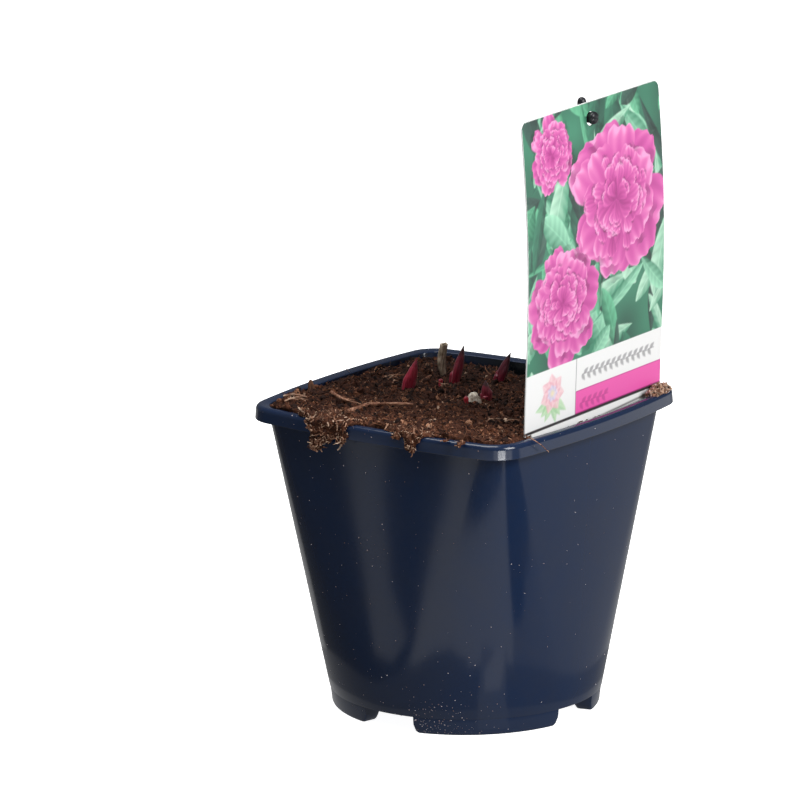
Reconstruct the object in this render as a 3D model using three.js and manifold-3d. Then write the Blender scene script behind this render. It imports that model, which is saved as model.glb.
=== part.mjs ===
// Herbaceous peony just breaking ground in a square-to-round nursery pot, with its picture label on a stake.
// Millimetres, +Z up. The origin is the centre of the base, on the surface that the four feet stand on.
// X and Y run along the pot's sides. The label stands inside the +X wall, and soil spills over the -Y rim.
import * as THREE from "three";
import { mergeVertices } from "three/addons/utils/BufferGeometryUtils.js";
import Module from "manifold-3d";

const wasm = await Module();
wasm.setup();

// Clearance between pieces that rest on or stand in each other.
const GAP = 0.3;

// Pot: a square with arc sides at the rim, running down to a circle at the floor.
const POT_HEIGHT = 160;
const RIM_HALF = 85;
const WALL = 1.2;
const WALL_TOP_HALF = 79.3;
const WALL_TOP_Z = 152.5;
const SIDE_SAGITTA = 0.06; // of the half side, at 0.85 of the half side from the middle
const CORNER_RADIUS = 0.2; // of the half side
const SIDE_STEPS = 4;
const CORNER_STEPS = 10;
const LIP_SKIRT = 7.5;
const LIP_FLARE = 0.3;
const LIP_EDGE_RADIUS = 2.5;
const INNER_EDGE_RADIUS = 0.6;

// Base: a floor plate above four moulded foot pockets, with round drain holes between them.
const FLOOR_RADIUS = 70;
const FLOOR_Z = 8.5;
const FLOOR_PLATE = 1.5;
const FOOT_OUTER_LOW = 68.7;
const FOOT_OUTER_HIGH = 69.7;
const FOOT_INNER_LOW = 61;
const FOOT_INNER_HIGH = 58;
const FOOT_HALF_SPAN = 32.5; // degrees
const FOOT_END_RADIUS = 3.5;
const FOOT_STEPS = 10;
const DRAIN_RADIUS = 5.5;
const DRAIN_CIRCLE = 48;

// Soil: height of its surface over the base, before the crumbly relief.
const SOIL_LEVEL = 156;
const SOIL_GRID = 35;
const SOIL_SPAN = 172;
const CRUMB_SIZE = 9;
const CRUMB_HEIGHT = 2.3;

// Rootstock: a knobbly crown under the shoots, with thick storage roots.
const CROWN_Z = 138;
const SHOOT_SOCKET_Z = 145;
const ROOT_COUNT = 6;
const ROOT_LENGTH = 88;
const ROOT_RADIUS = 5.2;

// Label: a thin bowed card hung on a peg of its stake, with its narrower foot in the soil. Its sizes are those
// of the upright card, which then hangs a little askew about its hole.
const CARD_WIDTH = 122;
const CARD_MIDDLE_Y = 6.3;
const CARD_THICKNESS = 0.6;
const CARD_BOTTOM = 146;
const CARD_TOP = 319.4;
const CARD_CORNER = 5;
const CARD_FOOT_WIDTH = 110;
const CARD_SHOULDER_Z = 160.1;
const CARD_TILT = 1.25; // degrees
const CARD_HOLE_RADIUS = 3.6;
const CARD_HOLE_Z = 310.8;
// Height over the base, and distance from the pot's middle plane, of the card's bowed middle line.
const CARD_BOW = [[146, 71.5], [160, 72.0], [200, 73.8], [240, 75.4], [285, 74.4], [321, 72.2]];
const STAKE_X = 68;
const STAKE_Y = 5;
const STAKE_RADIUS = 2.3;
const STAKE_BOTTOM = 78;
const STAKE_TOP = 321;
const PEG_RADIUS = 2.6;
const PEG_HEAD_RADIUS = 3.2;
const PEG_HEAD_X = 74.6;

const X_AXIS = new THREE.Vector3(1, 0, 0);
const Y_AXIS = new THREE.Vector3(0, 1, 0);
const Z_AXIS = new THREE.Vector3(0, 0, 1);
// Level direction in which the taller shoots lean.
const LEAN = new THREE.Vector3(0.81, 0.58, 0);

const at = (x, y, z) => new THREE.Vector3(x, y, z);
const degrees = THREE.MathUtils.degToRad;
const mix = THREE.MathUtils.lerp;
const smooth = THREE.MathUtils.smoothstep;

// Solids and meshes

// A closed mesh as a solid, without the empty triangles at a lathe's or a cap's pole.
function solid(geometry) {
  const bare = geometry.clone();
  bare.deleteAttribute("normal");
  bare.deleteAttribute("uv");
  const merged = mergeVertices(bare, 1e-4);
  const index = merged.index.array;
  const kept = [];
  for (let i = 0; i < index.length; i += 3) {
    const [a, b, c] = [index[i], index[i + 1], index[i + 2]];
    if (a !== b && b !== c && c !== a) kept.push(a, b, c);
  }
  return new wasm.Manifold(new wasm.Mesh({
    numProp: 3,
    vertProperties: new Float32Array(merged.attributes.position.array),
    triVerts: new Uint32Array(kept),
  }));
}

// A solid as a named mesh with its own material.
function piece(name, body, color, roughness, metalness = 0) {
  const { vertProperties, triVerts } = body.getMesh();
  const geometry = new THREE.BufferGeometry();
  geometry.setAttribute("position", new THREE.BufferAttribute(new Float32Array(vertProperties), 3));
  geometry.setIndex(new THREE.BufferAttribute(new Uint32Array(triVerts), 1));
  geometry.computeVertexNormals();
  const material = new THREE.MeshStandardMaterial({ color, roughness, metalness });
  const mesh = new THREE.Mesh(geometry, material);
  mesh.name = name;
  return mesh;
}

const fused = (bodies) => bodies.reduce((whole, body) => whole.add(body));

// The largest connected body of a solid, so that no loose scrap of a cut is kept.
function largest(body) {
  return body.decompose().sort((a, b) => b.volume() - a.volume())[0];
}

// Rings of one count of points, joined in order. The end rings are closed by fans, or joined to each other.
function loft(rings, joined = false) {
  const count = rings[0].length;
  const points = rings.flat();
  const index = [];
  const bands = joined ? rings.length : rings.length - 1;
  for (let i = 0; i < bands; i++) {
    const low = i * count;
    const high = ((i + 1) % rings.length) * count;
    for (let k = 0; k < count; k++) {
      const next = (k + 1) % count;
      index.push(low + k, low + next, high + next, low + k, high + next, high + k);
    }
  }
  if (!joined) {
    closeRing(rings[0], 0, points, index, true);
    closeRing(rings[rings.length - 1], (rings.length - 1) * count, points, index, false);
  }
  const geometry = new THREE.BufferGeometry().setFromPoints(points);
  geometry.setIndex(index);
  return geometry;
}

// A fan of triangles from a ring's middle to its points.
function closeRing(ring, first, points, index, turned) {
  const middle = ring.reduce((sum, p) => sum.add(p), at(0, 0, 0)).divideScalar(ring.length);
  const hub = points.push(middle) - 1;
  for (let k = 0; k < ring.length; k++) {
    const next = (k + 1) % ring.length;
    if (turned) index.push(first + next, first + k, hub);
    else index.push(first + k, first + next, hub);
  }
}

// A round or oval stem along a curve. radiusAt(u) is its half width at the share u of its length, and flat is
// the ratio of thickness to width. grow makes it larger all round, for the hole that it stands in.
function stem(curve, radiusAt, { sides = 8, steps = 8, flat = 1, grow = 0 } = {}) {
  const { normals, binormals, tangents } = curve.computeFrenetFrames(steps, false);
  const rings = [];
  for (let i = 0; i <= steps; i++) {
    const u = i / steps;
    const middle = curve.getPointAt(u);
    if (i === 0) middle.addScaledVector(tangents[0], -grow);
    if (i === steps) middle.addScaledVector(tangents[steps], grow);
    const radius = radiusAt(u);
    const ring = [];
    for (let k = 0; k < sides; k++) {
      const turn = (2 * Math.PI * k) / sides;
      ring.push(middle.clone()
        .addScaledVector(normals[i], (radius + grow) * Math.cos(turn))
        .addScaledVector(binormals[i], (radius * flat + grow) * Math.sin(turn)));
    }
    rings.push(ring);
  }
  return solid(loft(rings));
}

// Uneven surfaces

// Smooth noise from -1 to 1 over the plane, with lumps of the given size. It is the same on every run.
function unevenness(x, y, size, seed) {
  const corner = (i, j) => {
    const value = Math.sin(i * 127.1 + j * 311.7 + seed * 74.7) * 43758.5453;
    return 2 * (value - Math.floor(value)) - 1;
  };
  const [u, v] = [x / size, y / size];
  const [i, j] = [Math.floor(u), Math.floor(v)];
  const [s, t] = [smooth(u - i, 0, 1), smooth(v - j, 0, 1)];
  return mix(mix(corner(i, j), corner(i + 1, j), s), mix(corner(i, j + 1), corner(i + 1, j + 1), s), t);
}

// A knobbly ball of the given half sizes.
function lump(middle, sizes, seed, { rough = 0.14, detail = 1, grow = 0 } = {}) {
  const ball = new THREE.IcosahedronGeometry(1, detail);
  const position = ball.attributes.position;
  const p = at(0, 0, 0);
  for (let i = 0; i < position.count; i++) {
    p.fromBufferAttribute(position, i).normalize();
    const knob = 1 + rough * unevenness(2.1 * p.x + 1.3 * p.z, 2.1 * p.y - 1.1 * p.z, 0.8, seed);
    const reach = at(sizes[0] * knob + grow, sizes[1] * knob + grow, sizes[2] * knob + grow);
    p.multiply(reach).add(middle);
    position.setXYZ(i, p.x, p.y, p.z);
  }
  return solid(ball);
}

// Outlines of the pot

// One outline of the pot at half side 1 has four flat arcs and four corner arcs. It is given as points in
// steps of equal turn of its edge, so that equal points of two outlines face the same way.
const SIDE_REACH = 0.85;
const SIDE_RADIUS = (SIDE_REACH ** 2 + SIDE_SAGITTA ** 2) / (2 * SIDE_SAGITTA);

// The corner arc's centre (c, c) touches the side arc from within.
function cornerCentre() {
  const a = SIDE_RADIUS - 1;
  const b = SIDE_RADIUS - CORNER_RADIUS;
  return (-a + Math.sqrt(2 * b * b - a * a)) / 2;
}
const CORNER_CENTRE = cornerCentre();
const SIDE_TURN = Math.atan2(CORNER_CENTRE, CORNER_CENTRE + SIDE_RADIUS - 1);

// The directions that the outline faces, in order round the pot.
function outlineTurns() {
  const turns = [];
  for (let quarter = 0; quarter < 4; quarter++) {
    const start = (quarter * Math.PI) / 2;
    for (let k = 0; k < SIDE_STEPS; k++) {
      turns.push(start + mix(-SIDE_TURN, SIDE_TURN, k / SIDE_STEPS));
    }
    for (let k = 0; k < CORNER_STEPS; k++) {
      turns.push(start + mix(SIDE_TURN, Math.PI / 2 - SIDE_TURN, k / CORNER_STEPS));
    }
  }
  return turns;
}
const TURNS = outlineTurns();

// The outline's point that faces the direction turn, for a half side, moved in by inset.
function squarePoint(turn, half, inset) {
  const quarter = Math.round(turn / (Math.PI / 2));
  const local = turn - (quarter * Math.PI) / 2;
  let [x, y, radius] = [(1 - SIDE_RADIUS) * half, 0, SIDE_RADIUS * half];
  if (Math.abs(local) > SIDE_TURN + 1e-9) {
    x = CORNER_CENTRE * half;
    y = Math.sign(local) * CORNER_CENTRE * half;
    radius = CORNER_RADIUS * half;
  }
  const point = new THREE.Vector2(Math.cos(local), Math.sin(local)).multiplyScalar(radius - inset);
  return point.add(new THREE.Vector2(x, y)).rotateAround(new THREE.Vector2(), (quarter * Math.PI) / 2);
}

const squareRing = (half, inset, z) => TURNS.map((turn) => {
  const p = squarePoint(turn, half, inset);
  return at(p.x, p.y, z);
});
const roundRing = (radius, z) => TURNS.map((turn) => at(radius * Math.cos(turn), radius * Math.sin(turn), z));

// The wall's ring at a height, moved in by inset. It is ruled from the floor's circle to the square top.
function wallRing(z, inset) {
  const share = (z - FLOOR_Z) / (WALL_TOP_Z - FLOOR_Z);
  const low = roundRing(FLOOR_RADIUS - inset, z);
  const high = squareRing(WALL_TOP_HALF, inset, z);
  return low.map((p, k) => p.lerp(high[k], share));
}

// Pot

// The turned-over lip's outer face from its lower edge to the flat top land.
function lipRings() {
  const rings = [squareRing(RIM_HALF + LIP_FLARE, 0, POT_HEIGHT - LIP_SKIRT)];
  for (const angle of [0, 30, 60, 90]) {
    const inset = LIP_EDGE_RADIUS * (1 - Math.cos(degrees(angle)));
    const z = POT_HEIGHT - LIP_EDGE_RADIUS * (1 - Math.sin(degrees(angle)));
    rings.push(squareRing(RIM_HALF, inset, z));
  }
  return rings;
}

// The thin shell: floor, wall, hollow lip and inner wall.
function potShell() {
  const underLand = POT_HEIGHT - WALL;
  return solid(loft([
    roundRing(FLOOR_RADIUS, FLOOR_Z),
    wallRing(WALL_TOP_Z, 0),
    wallRing(underLand, 0),
    squareRing(RIM_HALF, WALL, underLand),
    squareRing(RIM_HALF + LIP_FLARE, WALL, POT_HEIGHT - LIP_SKIRT),
    ...lipRings(),
    wallRing(POT_HEIGHT, WALL - INNER_EDGE_RADIUS),
    wallRing(POT_HEIGHT - INNER_EDGE_RADIUS, WALL),
    wallRing(FLOOR_Z + FLOOR_PLATE, WALL),
  ]));
}

// One foot as a sector of a ring, made smaller all round by inset and reaching up to the height top.
function footSector(middle, inset, top) {
  const halfSpan = degrees(FOOT_HALF_SPAN) - inset / FOOT_OUTER_LOW;
  const endTurn = FOOT_END_RADIUS / FOOT_OUTER_LOW;
  const rings = [];
  for (let k = 0; k <= FOOT_STEPS; k++) {
    const turn = mix(-halfSpan, halfSpan, k / FOOT_STEPS);
    const past = Math.max(0, Math.abs(turn) - (halfSpan - endTurn)) / endTurn;
    const lift = inset + FOOT_END_RADIUS * (1 - Math.sqrt(1 - past * past));
    const section = [
      [FOOT_OUTER_HIGH - inset, top],
      [FOOT_OUTER_HIGH - inset, FLOOR_Z],
      [FOOT_OUTER_LOW - inset + 0.4, lift + 0.6],
      [FOOT_OUTER_LOW - inset - 0.4, lift],
      [FOOT_INNER_LOW + inset, lift],
      [FOOT_INNER_LOW + inset - 1.4, lift + 1.6],
      [FOOT_INNER_HIGH + inset, FLOOR_Z],
      [FOOT_INNER_HIGH + inset, top],
    ];
    const along = degrees(middle) + turn;
    rings.push(section.map(([r, z]) => at(r * Math.cos(along), r * Math.sin(along), z)));
  }
  return solid(loft(rings));
}

const FOOT_MIDDLES = [45, 135, 225, 315];

function drainHole(x, y) {
  const hole = new THREE.CylinderGeometry(DRAIN_RADIUS, DRAIN_RADIUS, 4 * FLOOR_PLATE, 20);
  return solid(hole.rotateX(Math.PI / 2).translate(x, y, FLOOR_Z));
}

function makePot() {
  const inner = FLOOR_Z + FLOOR_PLATE;
  const feet = FOOT_MIDDLES.map((middle) => footSector(middle, 0, FLOOR_Z + FLOOR_PLATE / 2));
  const pockets = FOOT_MIDDLES.map((middle) => footSector(middle, WALL, inner + 1));
  const holes = [drainHole(0, 0)];
  for (const turn of [0, 90, 180, 270]) {
    holes.push(drainHole(DRAIN_CIRCLE * Math.cos(degrees(turn)), DRAIN_CIRCLE * Math.sin(degrees(turn))));
  }
  return fused([potShell(), ...feet]).subtract(fused(pockets)).subtract(fused(holes));
}

// Plant

// A pointed shoot. base is where it leaves the soil, height and lean its reach above it, wide its greatest
// width. Its scales are shorter spears that hug the main one, each turned to its own side.
const SHOOTS = [
  { name: "shoot_1", base: at(-39.7, 4.2, 156.4), height: 16.8, lean: 5.7, wide: 6.4, turn: 47, color: 0x8a2436 },
  { name: "shoot_2", base: at(-33.6, 38.5, 155.1), height: 19.3, lean: 5.1, wide: 5.2, turn: 94, color: 0x5c1724 },
  { name: "shoot_3", base: at(-17.9, 54.7, 154.0), height: 15.3, lean: 7.1, wide: 5.2, turn: 141, color: 0x4a1220 },
  { name: "shoot_4", base: at(5.1, 11.8, 155.8), height: 10.3, lean: -0.5, wide: 5.4, turn: 188, color: 0x6e1826 },
];
const BUDS = [
  { name: "bud_1", base: at(-34.9, 27.9, 155.5), height: 2.9, lean: 0.1, wide: 2.6, color: 0xb02034 },
  { name: "bud_2", base: at(4.7, -5.4, 157.1), height: 4.4, lean: -0.2, wide: 3, color: 0xa02032 },
];
const SHOOT_FLATNESS = 0.72;
const SCALES = [
  { side: 200, reach: 0.66, share: 0.82, away: 0.22 },
  { side: 20, reach: 0.45, share: 0.82, away: 0.22 },
];

// A spear from its foot in the crown, past its base, to its tip. It is widest a third of the way up from the
// soil, and the share of its length that lies below that is fullAt.
function spear(foot, base, tip, wide) {
  const curve = new THREE.QuadraticBezierCurve3(foot, base.clone().lerp(tip, 0.25), tip);
  const buried = base.z - foot.z;
  const fullAt = (buried + (tip.z - base.z) / 3) / (tip.z - foot.z);
  const half = wide / 2;
  const radiusAt = (u) => {
    if (u < fullAt) return half * mix(0.55, 1, smooth(u, 0, fullAt));
    return Math.max(half * 0.06, half * (1 - ((u - fullAt) / (1 - fullAt)) ** 1.4));
  };
  return stem(curve, radiusAt, { sides: 7, steps: 7, flat: SHOOT_FLATNESS });
}

const shootFoot = ({ base, lean }) => at(base.x, base.y, SHOOT_SOCKET_Z).addScaledVector(LEAN, -0.3 * lean);

function shoot(spec, scales) {
  const { base, height, lean, wide, turn } = spec;
  const foot = shootFoot(spec);
  const tip = base.clone().addScaledVector(LEAN, lean);
  tip.z += height;
  const spears = [spear(foot, base, tip, wide)];
  for (const { side, reach, share, away } of scales) {
    const out = X_AXIS.clone().applyAxisAngle(Z_AXIS, degrees(side + turn)).multiplyScalar(away * wide);
    const scaleBase = base.clone().add(out);
    const scaleTip = base.clone().lerp(tip, reach).addScaledVector(out, 1.15);
    spears.push(spear(foot.clone().addScaledVector(out, 0.5), scaleBase, scaleTip, wide * share));
  }
  return fused(spears);
}

// The plain hole that a shoot stands in, from its socket in the crown to above the soil.
function shootHole(spec) {
  const { base, height, lean, wide } = spec;
  const mouth = base.clone().addScaledVector(LEAN, 0.3 * lean);
  mouth.z += Math.min(5, 0.4 * height + 1);
  const curve = new THREE.QuadraticBezierCurve3(shootFoot(spec), base, mouth);
  const radiusAt = (u) => wide * mix(0.37, 0.64, smooth(u, 0, 0.6));
  return stem(curve, radiusAt, { sides: 8, steps: 3, grow: GAP });
}

// Last year's stalk: a bent dry tube, hollow at its cut top.
const OLD_STEM = {
  points: [at(-43, 42.5, 145), at(-43.3, 42.7, 155), at(-44.4, 42.2, 163), at(-43.1, 42.8, 172.6)],
  radii: [1.5, 1.3, 2.1, 2.0],
  hollow: 1.15,
  depth: 4,
};

function oldStem(grow = 0) {
  const curve = new THREE.CatmullRomCurve3(OLD_STEM.points);
  const { radii } = OLD_STEM;
  const radiusAt = (u) => {
    const place = u * (radii.length - 1);
    const k = Math.min(Math.floor(place), radii.length - 2);
    return mix(radii[k], radii[k + 1], smooth(place - k, 0, 1));
  };
  const stalk = stem(curve, radiusAt, { sides: 8, steps: 7, flat: 0.86, grow });
  if (grow > 0) return stalk;
  const top = OLD_STEM.points[3];
  const bore = new THREE.CylinderGeometry(OLD_STEM.hollow, OLD_STEM.hollow * 0.6, 2 * OLD_STEM.depth, 10);
  return stalk.subtract(solid(bore.rotateX(Math.PI / 2).translate(top.x, top.y, top.z)));
}

// The crown's knobs, as middles and half sizes. The last one breaks the surface between the shoots.
const CROWN_KNOBS = [
  { middle: at(-22, 25, CROWN_Z - 4), sizes: [22, 24, 11] },
  { middle: at(-38, 7, CROWN_Z), sizes: [11, 11, 9] },
  { middle: at(-37, 37, CROWN_Z), sizes: [13, 13, 9] },
  { middle: at(-18.5, 52, CROWN_Z - 1), sizes: [10, 10, 9] },
  { middle: at(2.5, 4, CROWN_Z), sizes: [12, 15, 10] },
  { middle: at(3.6, 2.4, CROWN_Z + 15), sizes: [4, 4, 9] },
];

// One storage root from the crown, out and down.
function storageRoot(number, grow) {
  const turn = (2 * Math.PI * number) / ROOT_COUNT + 0.35;
  const spread = 20 + 6 * unevenness(number, 3, 0.7, 11);
  const out = at(Math.cos(turn), Math.sin(turn), 0);
  const bend = at(-Math.sin(turn), Math.cos(turn), 0).multiplyScalar(7 * unevenness(number, 9, 0.7, 12));
  const length = ROOT_LENGTH * (1 + 0.16 * unevenness(number, 5, 0.7, 13));
  const crown = at(-20, 24, CROWN_Z - 8);
  const points = [0, 0.35, 0.7, 1].map((share) => crown.clone()
    .addScaledVector(out, 8 + spread * Math.sqrt(share))
    .addScaledVector(bend, Math.sin(share * Math.PI))
    .addScaledVector(Z_AXIS, -length * share));
  const radiusAt = (u) => ROOT_RADIUS * (0.75 + 0.45 * Math.sin(Math.PI * Math.min(1, u * 1.4))) * (1 - 0.6 * u * u);
  return stem(new THREE.CatmullRomCurve3(points), radiusAt, { sides: 6, steps: 6, grow });
}

function rootstockBody(grow = 0) {
  const knobs = CROWN_KNOBS.map(({ middle, sizes }, k) => lump(middle, sizes, 21 + k, { grow }));
  const roots = Array.from({ length: ROOT_COUNT }, (_, k) => storageRoot(k, grow));
  return fused([...knobs, ...roots]);
}

// Loose pieces that lie on the soil, each as a bent stick pressed half into it.
const TWIGS = [
  { name: "twig_1", points: [[-24.5, -69, 0.5], [-27, -52, 0.5], [-25.5, -40, 0.6], [-12, -28.6, 0.4]], radius: 0.9 },
  { name: "twig_2", points: [[-60.5, -32.5, 0.6], [-44.2, -43, 0.6], [-32.5, -45.6, 0.4]], radius: 0.8 },
  { name: "twig_3", points: [[-43.2, 21.5, 0.4], [-43.8, 28, 0.9], [-44, 33.5, 1.3]], radius: 0.8 },
];
const BARK_CHIP = { foot: at(-72.9, -31.6, 152), top: at(-74, -32.2, 164.4), radius: 2.4 };

function twig({ points, radius }, grow = 0) {
  const curve = new THREE.CatmullRomCurve3(points.map(([x, y, above]) => at(x, y, soilForm(x, y) + above)));
  return stem(curve, (u) => radius * (1 - 0.45 * u), { sides: 6, steps: 8, grow });
}

function barkChip(grow = 0) {
  const curve = new THREE.LineCurve3(BARK_CHIP.foot, BARK_CHIP.top);
  return stem(curve, (u) => BARK_CHIP.radius * (1 - 0.3 * u), { sides: 7, steps: 3, flat: 0.5, grow });
}

// Soil

// The surface without crumbs: low at the far right, heaped at the front and banked up on the left.
function soilForm(x, y) {
  const [u, v] = [x / WALL_TOP_HALF, y / WALL_TOP_HALF];
  const rightward = smooth(u, -1.1, 0.9);
  const heap = 2.6 * Math.exp(-((x - 18) ** 2 + (y + 38) ** 2) / (2 * 26 ** 2));
  const level = SOIL_LEVEL - 1.2 * v - 4.4 * Math.max(0, v) * rightward;
  return level + 2.6 * Math.min(0, v) ** 2 + 1.4 * Math.min(0, u) ** 2 + heap;
}

// What spills onto the front rim: a bank left of its middle and a thin lip of crumbs at the right.
function spill(x, y) {
  const nearRim = 1 - smooth(y, -80, -64);
  const left = smooth(x, -48, -38) * (1 - smooth(x, -16, -8));
  const right = smooth(x, 6, 16) * (1 - smooth(x, 62, 72));
  const fallsOff = 1 - smooth(-y, 82, 86);
  return (nearRim * (2.2 * left + 0.9 * right) - 4 * (1 - left) * (1 - 0.75 * right) * (1 - smooth(y, -82, -77)))
    * fallsOff - 6 * (1 - fallsOff);
}

function soilHeight(x, y) {
  const coarse = unevenness(x, y, CRUMB_SIZE, 3);
  const fine = unevenness(x + 40, y - 17, CRUMB_SIZE / 2, 7);
  const nearWall = smooth(Math.max(Math.abs(x), Math.abs(y)), 68, 80);
  const crumbs = CRUMB_HEIGHT * (0.62 * coarse + 0.38 * fine) * (1 - 0.4 * nearWall);
  return soilForm(x, y) + spill(x, y) + crumbs;
}

// A block whose top is the soil's surface, to be cut to the pot's inside.
function soilBlock() {
  const block = new THREE.BoxGeometry(SOIL_SPAN, SOIL_SPAN, POT_HEIGHT, SOIL_GRID, SOIL_GRID, 1);
  block.translate(0, 0, POT_HEIGHT / 2);
  const position = block.attributes.position;
  for (let i = 0; i < position.count; i++) {
    if (position.getZ(i) > 1) position.setZ(i, soilHeight(position.getX(i), position.getY(i)));
  }
  return solid(block);
}

// The room that soil can fill: the pot's inside, its foot pockets, and the space over the rim.
function soilRoom() {
  const floor = FLOOR_Z + FLOOR_PLATE + GAP;
  const sky = POT_HEIGHT + 20;
  const inside = solid(loft([
    wallRing(floor, WALL + GAP),
    wallRing(POT_HEIGHT - INNER_EDGE_RADIUS, WALL + GAP),
    wallRing(POT_HEIGHT - INNER_EDGE_RADIUS, WALL + GAP).map((p) => p.setZ(sky)),
  ]));
  const overRim = solid(loft([
    squareRing(RIM_HALF, 1, POT_HEIGHT - 1),
    squareRing(RIM_HALF, 1, sky),
  ]));
  const pockets = FOOT_MIDDLES.map((middle) => footSector(middle, WALL + GAP, floor + 1));
  return fused([inside, overRim, ...pockets]);
}

// The lip's own space with its clearance, which loose soil on the rim keeps out of.
function lipSpace() {
  const low = POT_HEIGHT - 20;
  const top = POT_HEIGHT + GAP;
  const wide = RIM_HALF + LIP_FLARE;
  const edge = LIP_EDGE_RADIUS;
  return solid(loft([
    squareRing(WALL_TOP_HALF, WALL + GAP, low),
    squareRing(wide, -GAP, low),
    squareRing(wide, -GAP, POT_HEIGHT - edge),
    squareRing(wide, 0.3 * edge - GAP, POT_HEIGHT - 0.3 * edge + GAP),
    squareRing(wide, edge, top),
    wallRing(POT_HEIGHT, WALL + GAP).map((p) => p.setZ(top)),
    wallRing(POT_HEIGHT, WALL + GAP).map((p) => p.setZ(POT_HEIGHT)),
  ], true));
}

// Matted lumps that hang over the front rim, as middles and half sizes.
const HANGING_LUMPS = [
  { middle: at(-26, -82.3, 159.6), sizes: [14, 4.9, 4.4], detail: 2 },
  { middle: at(-28, -83.8, 154.5), sizes: [10.5, 3.9, 7.6], detail: 2 },
  { middle: at(-31, -84.4, 148.6), sizes: [6, 3.3, 6.4], detail: 1 },
  { middle: at(-17, -84.2, 154.8), sizes: [5, 3.4, 4.8], detail: 1 },
  { middle: at(28, -82.3, 159.8), sizes: [8.5, 4.8, 3.2], detail: 1 },
  { middle: at(27.4, -84, 155.4), sizes: [4.6, 3.5, 5.6], detail: 1 },
  { middle: at(50, -80.6, 159.8), sizes: [4.5, 4.2, 2.2], detail: 1 },
];

function makeSoil(lipRoom, holes) {
  const lumps = HANGING_LUMPS.map(({ middle, sizes, detail }, k) => lump(middle, sizes, 41 + k, { rough: 0.3, detail }));
  const body = soilBlock().intersect(soilRoom()).add(fused(lumps));
  return largest(body.subtract(lipRoom).subtract(fused(holes)));
}

// A pinch of soil left on the land at the rim's far right corner, in front of the card's edge.
function cornerCrumbs(lipRoom, slot) {
  const crumbs = [
    lump(at(78.3, 57.5, 160.9), [3.5, 5.4, 3], 61, { rough: 0.3 }),
    lump(at(77.2, 65.5, 160.9), [3.7, 5, 3], 62, { rough: 0.3 }),
  ];
  return largest(fused(crumbs).subtract(lipRoom).subtract(slot));
}

// Label

function cardCurve() {
  return new THREE.CatmullRomCurve3(CARD_BOW.map(([z, x]) => at(x, 0, z)));
}

// The card's side profile drawn along its bow, as wide as the card and larger all round by grow.
function bowedSheet(grow) {
  const curve = cardCurve();
  const steps = 16;
  const half = CARD_THICKNESS / 2 + grow;
  const [front, back] = [[], []];
  for (let k = 0; k <= steps; k++) {
    const p = curve.getPointAt(k / steps);
    const along = curve.getTangentAt(k / steps);
    const z = p.z + (k === 0 ? -grow : 0) + (k === steps ? grow : 0);
    front.push(new THREE.Vector2(p.x + half * along.z, z - half * along.x));
    back.unshift(new THREE.Vector2(p.x - half * along.z, z + half * along.x));
  }
  const depth = CARD_WIDTH + 2 * grow;
  const sheet = new THREE.ExtrudeGeometry(new THREE.Shape([...front, ...back]), { depth, bevelEnabled: false });
  // The profile's own plane stands up on X and Z, and its depth runs along -Y.
  return solid(sheet.rotateX(Math.PI / 2).translate(0, CARD_MIDDLE_Y + depth / 2, 0));
}

// The card's face seen from the front, as a thick plate: round upper corners, and a narrower foot below its
// shoulders. The card itself, which has no grow, also has the peg's hole.
function cardFace(grow) {
  const [w, foot, r] = [CARD_WIDTH / 2 + grow, CARD_FOOT_WIDTH / 2 + grow, CARD_CORNER + grow];
  const [low, shoulder, high] = [CARD_BOTTOM - grow, CARD_SHOULDER_Z - grow, CARD_TOP + grow];
  const face = new THREE.Shape();
  face.moveTo(-foot, low);
  face.lineTo(foot, low);
  face.lineTo(foot, shoulder - r);
  face.quadraticCurveTo(foot, shoulder, w, shoulder);
  face.absarc(w - r, high - r, r, 0, Math.PI / 2, false);
  face.absarc(-w + r, high - r, r, Math.PI / 2, Math.PI, false);
  face.lineTo(-w, shoulder);
  face.quadraticCurveTo(-foot, shoulder, -foot, shoulder - r);
  if (grow === 0) {
    const across = STAKE_Y - CARD_MIDDLE_Y;
    face.holes.push(new THREE.Path().absarc(across, CARD_HOLE_Z, CARD_HOLE_RADIUS, 0, 2 * Math.PI, true));
  }
  const plate = new THREE.ExtrudeGeometry(face, { depth: 20, bevelEnabled: false, curveSegments: 6 });
  // The face's X becomes Y, its Y becomes Z, and its depth runs along X.
  const stand = new THREE.Matrix4().makeBasis(Y_AXIS, Z_AXIS, X_AXIS);
  stand.setPosition(STAKE_X, CARD_MIDDLE_Y, 0);
  return solid(plate.applyMatrix4(stand));
}

// The card, or with grow the slot that it stands in, turned askew about its hole.
function labelCard(grow = 0) {
  const upright = bowedSheet(grow).intersect(cardFace(grow)).translate(0, -STAKE_Y, -CARD_HOLE_Z);
  return upright.rotate(CARD_TILT, 0, 0).translate(0, STAKE_Y, CARD_HOLE_Z);
}

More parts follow.
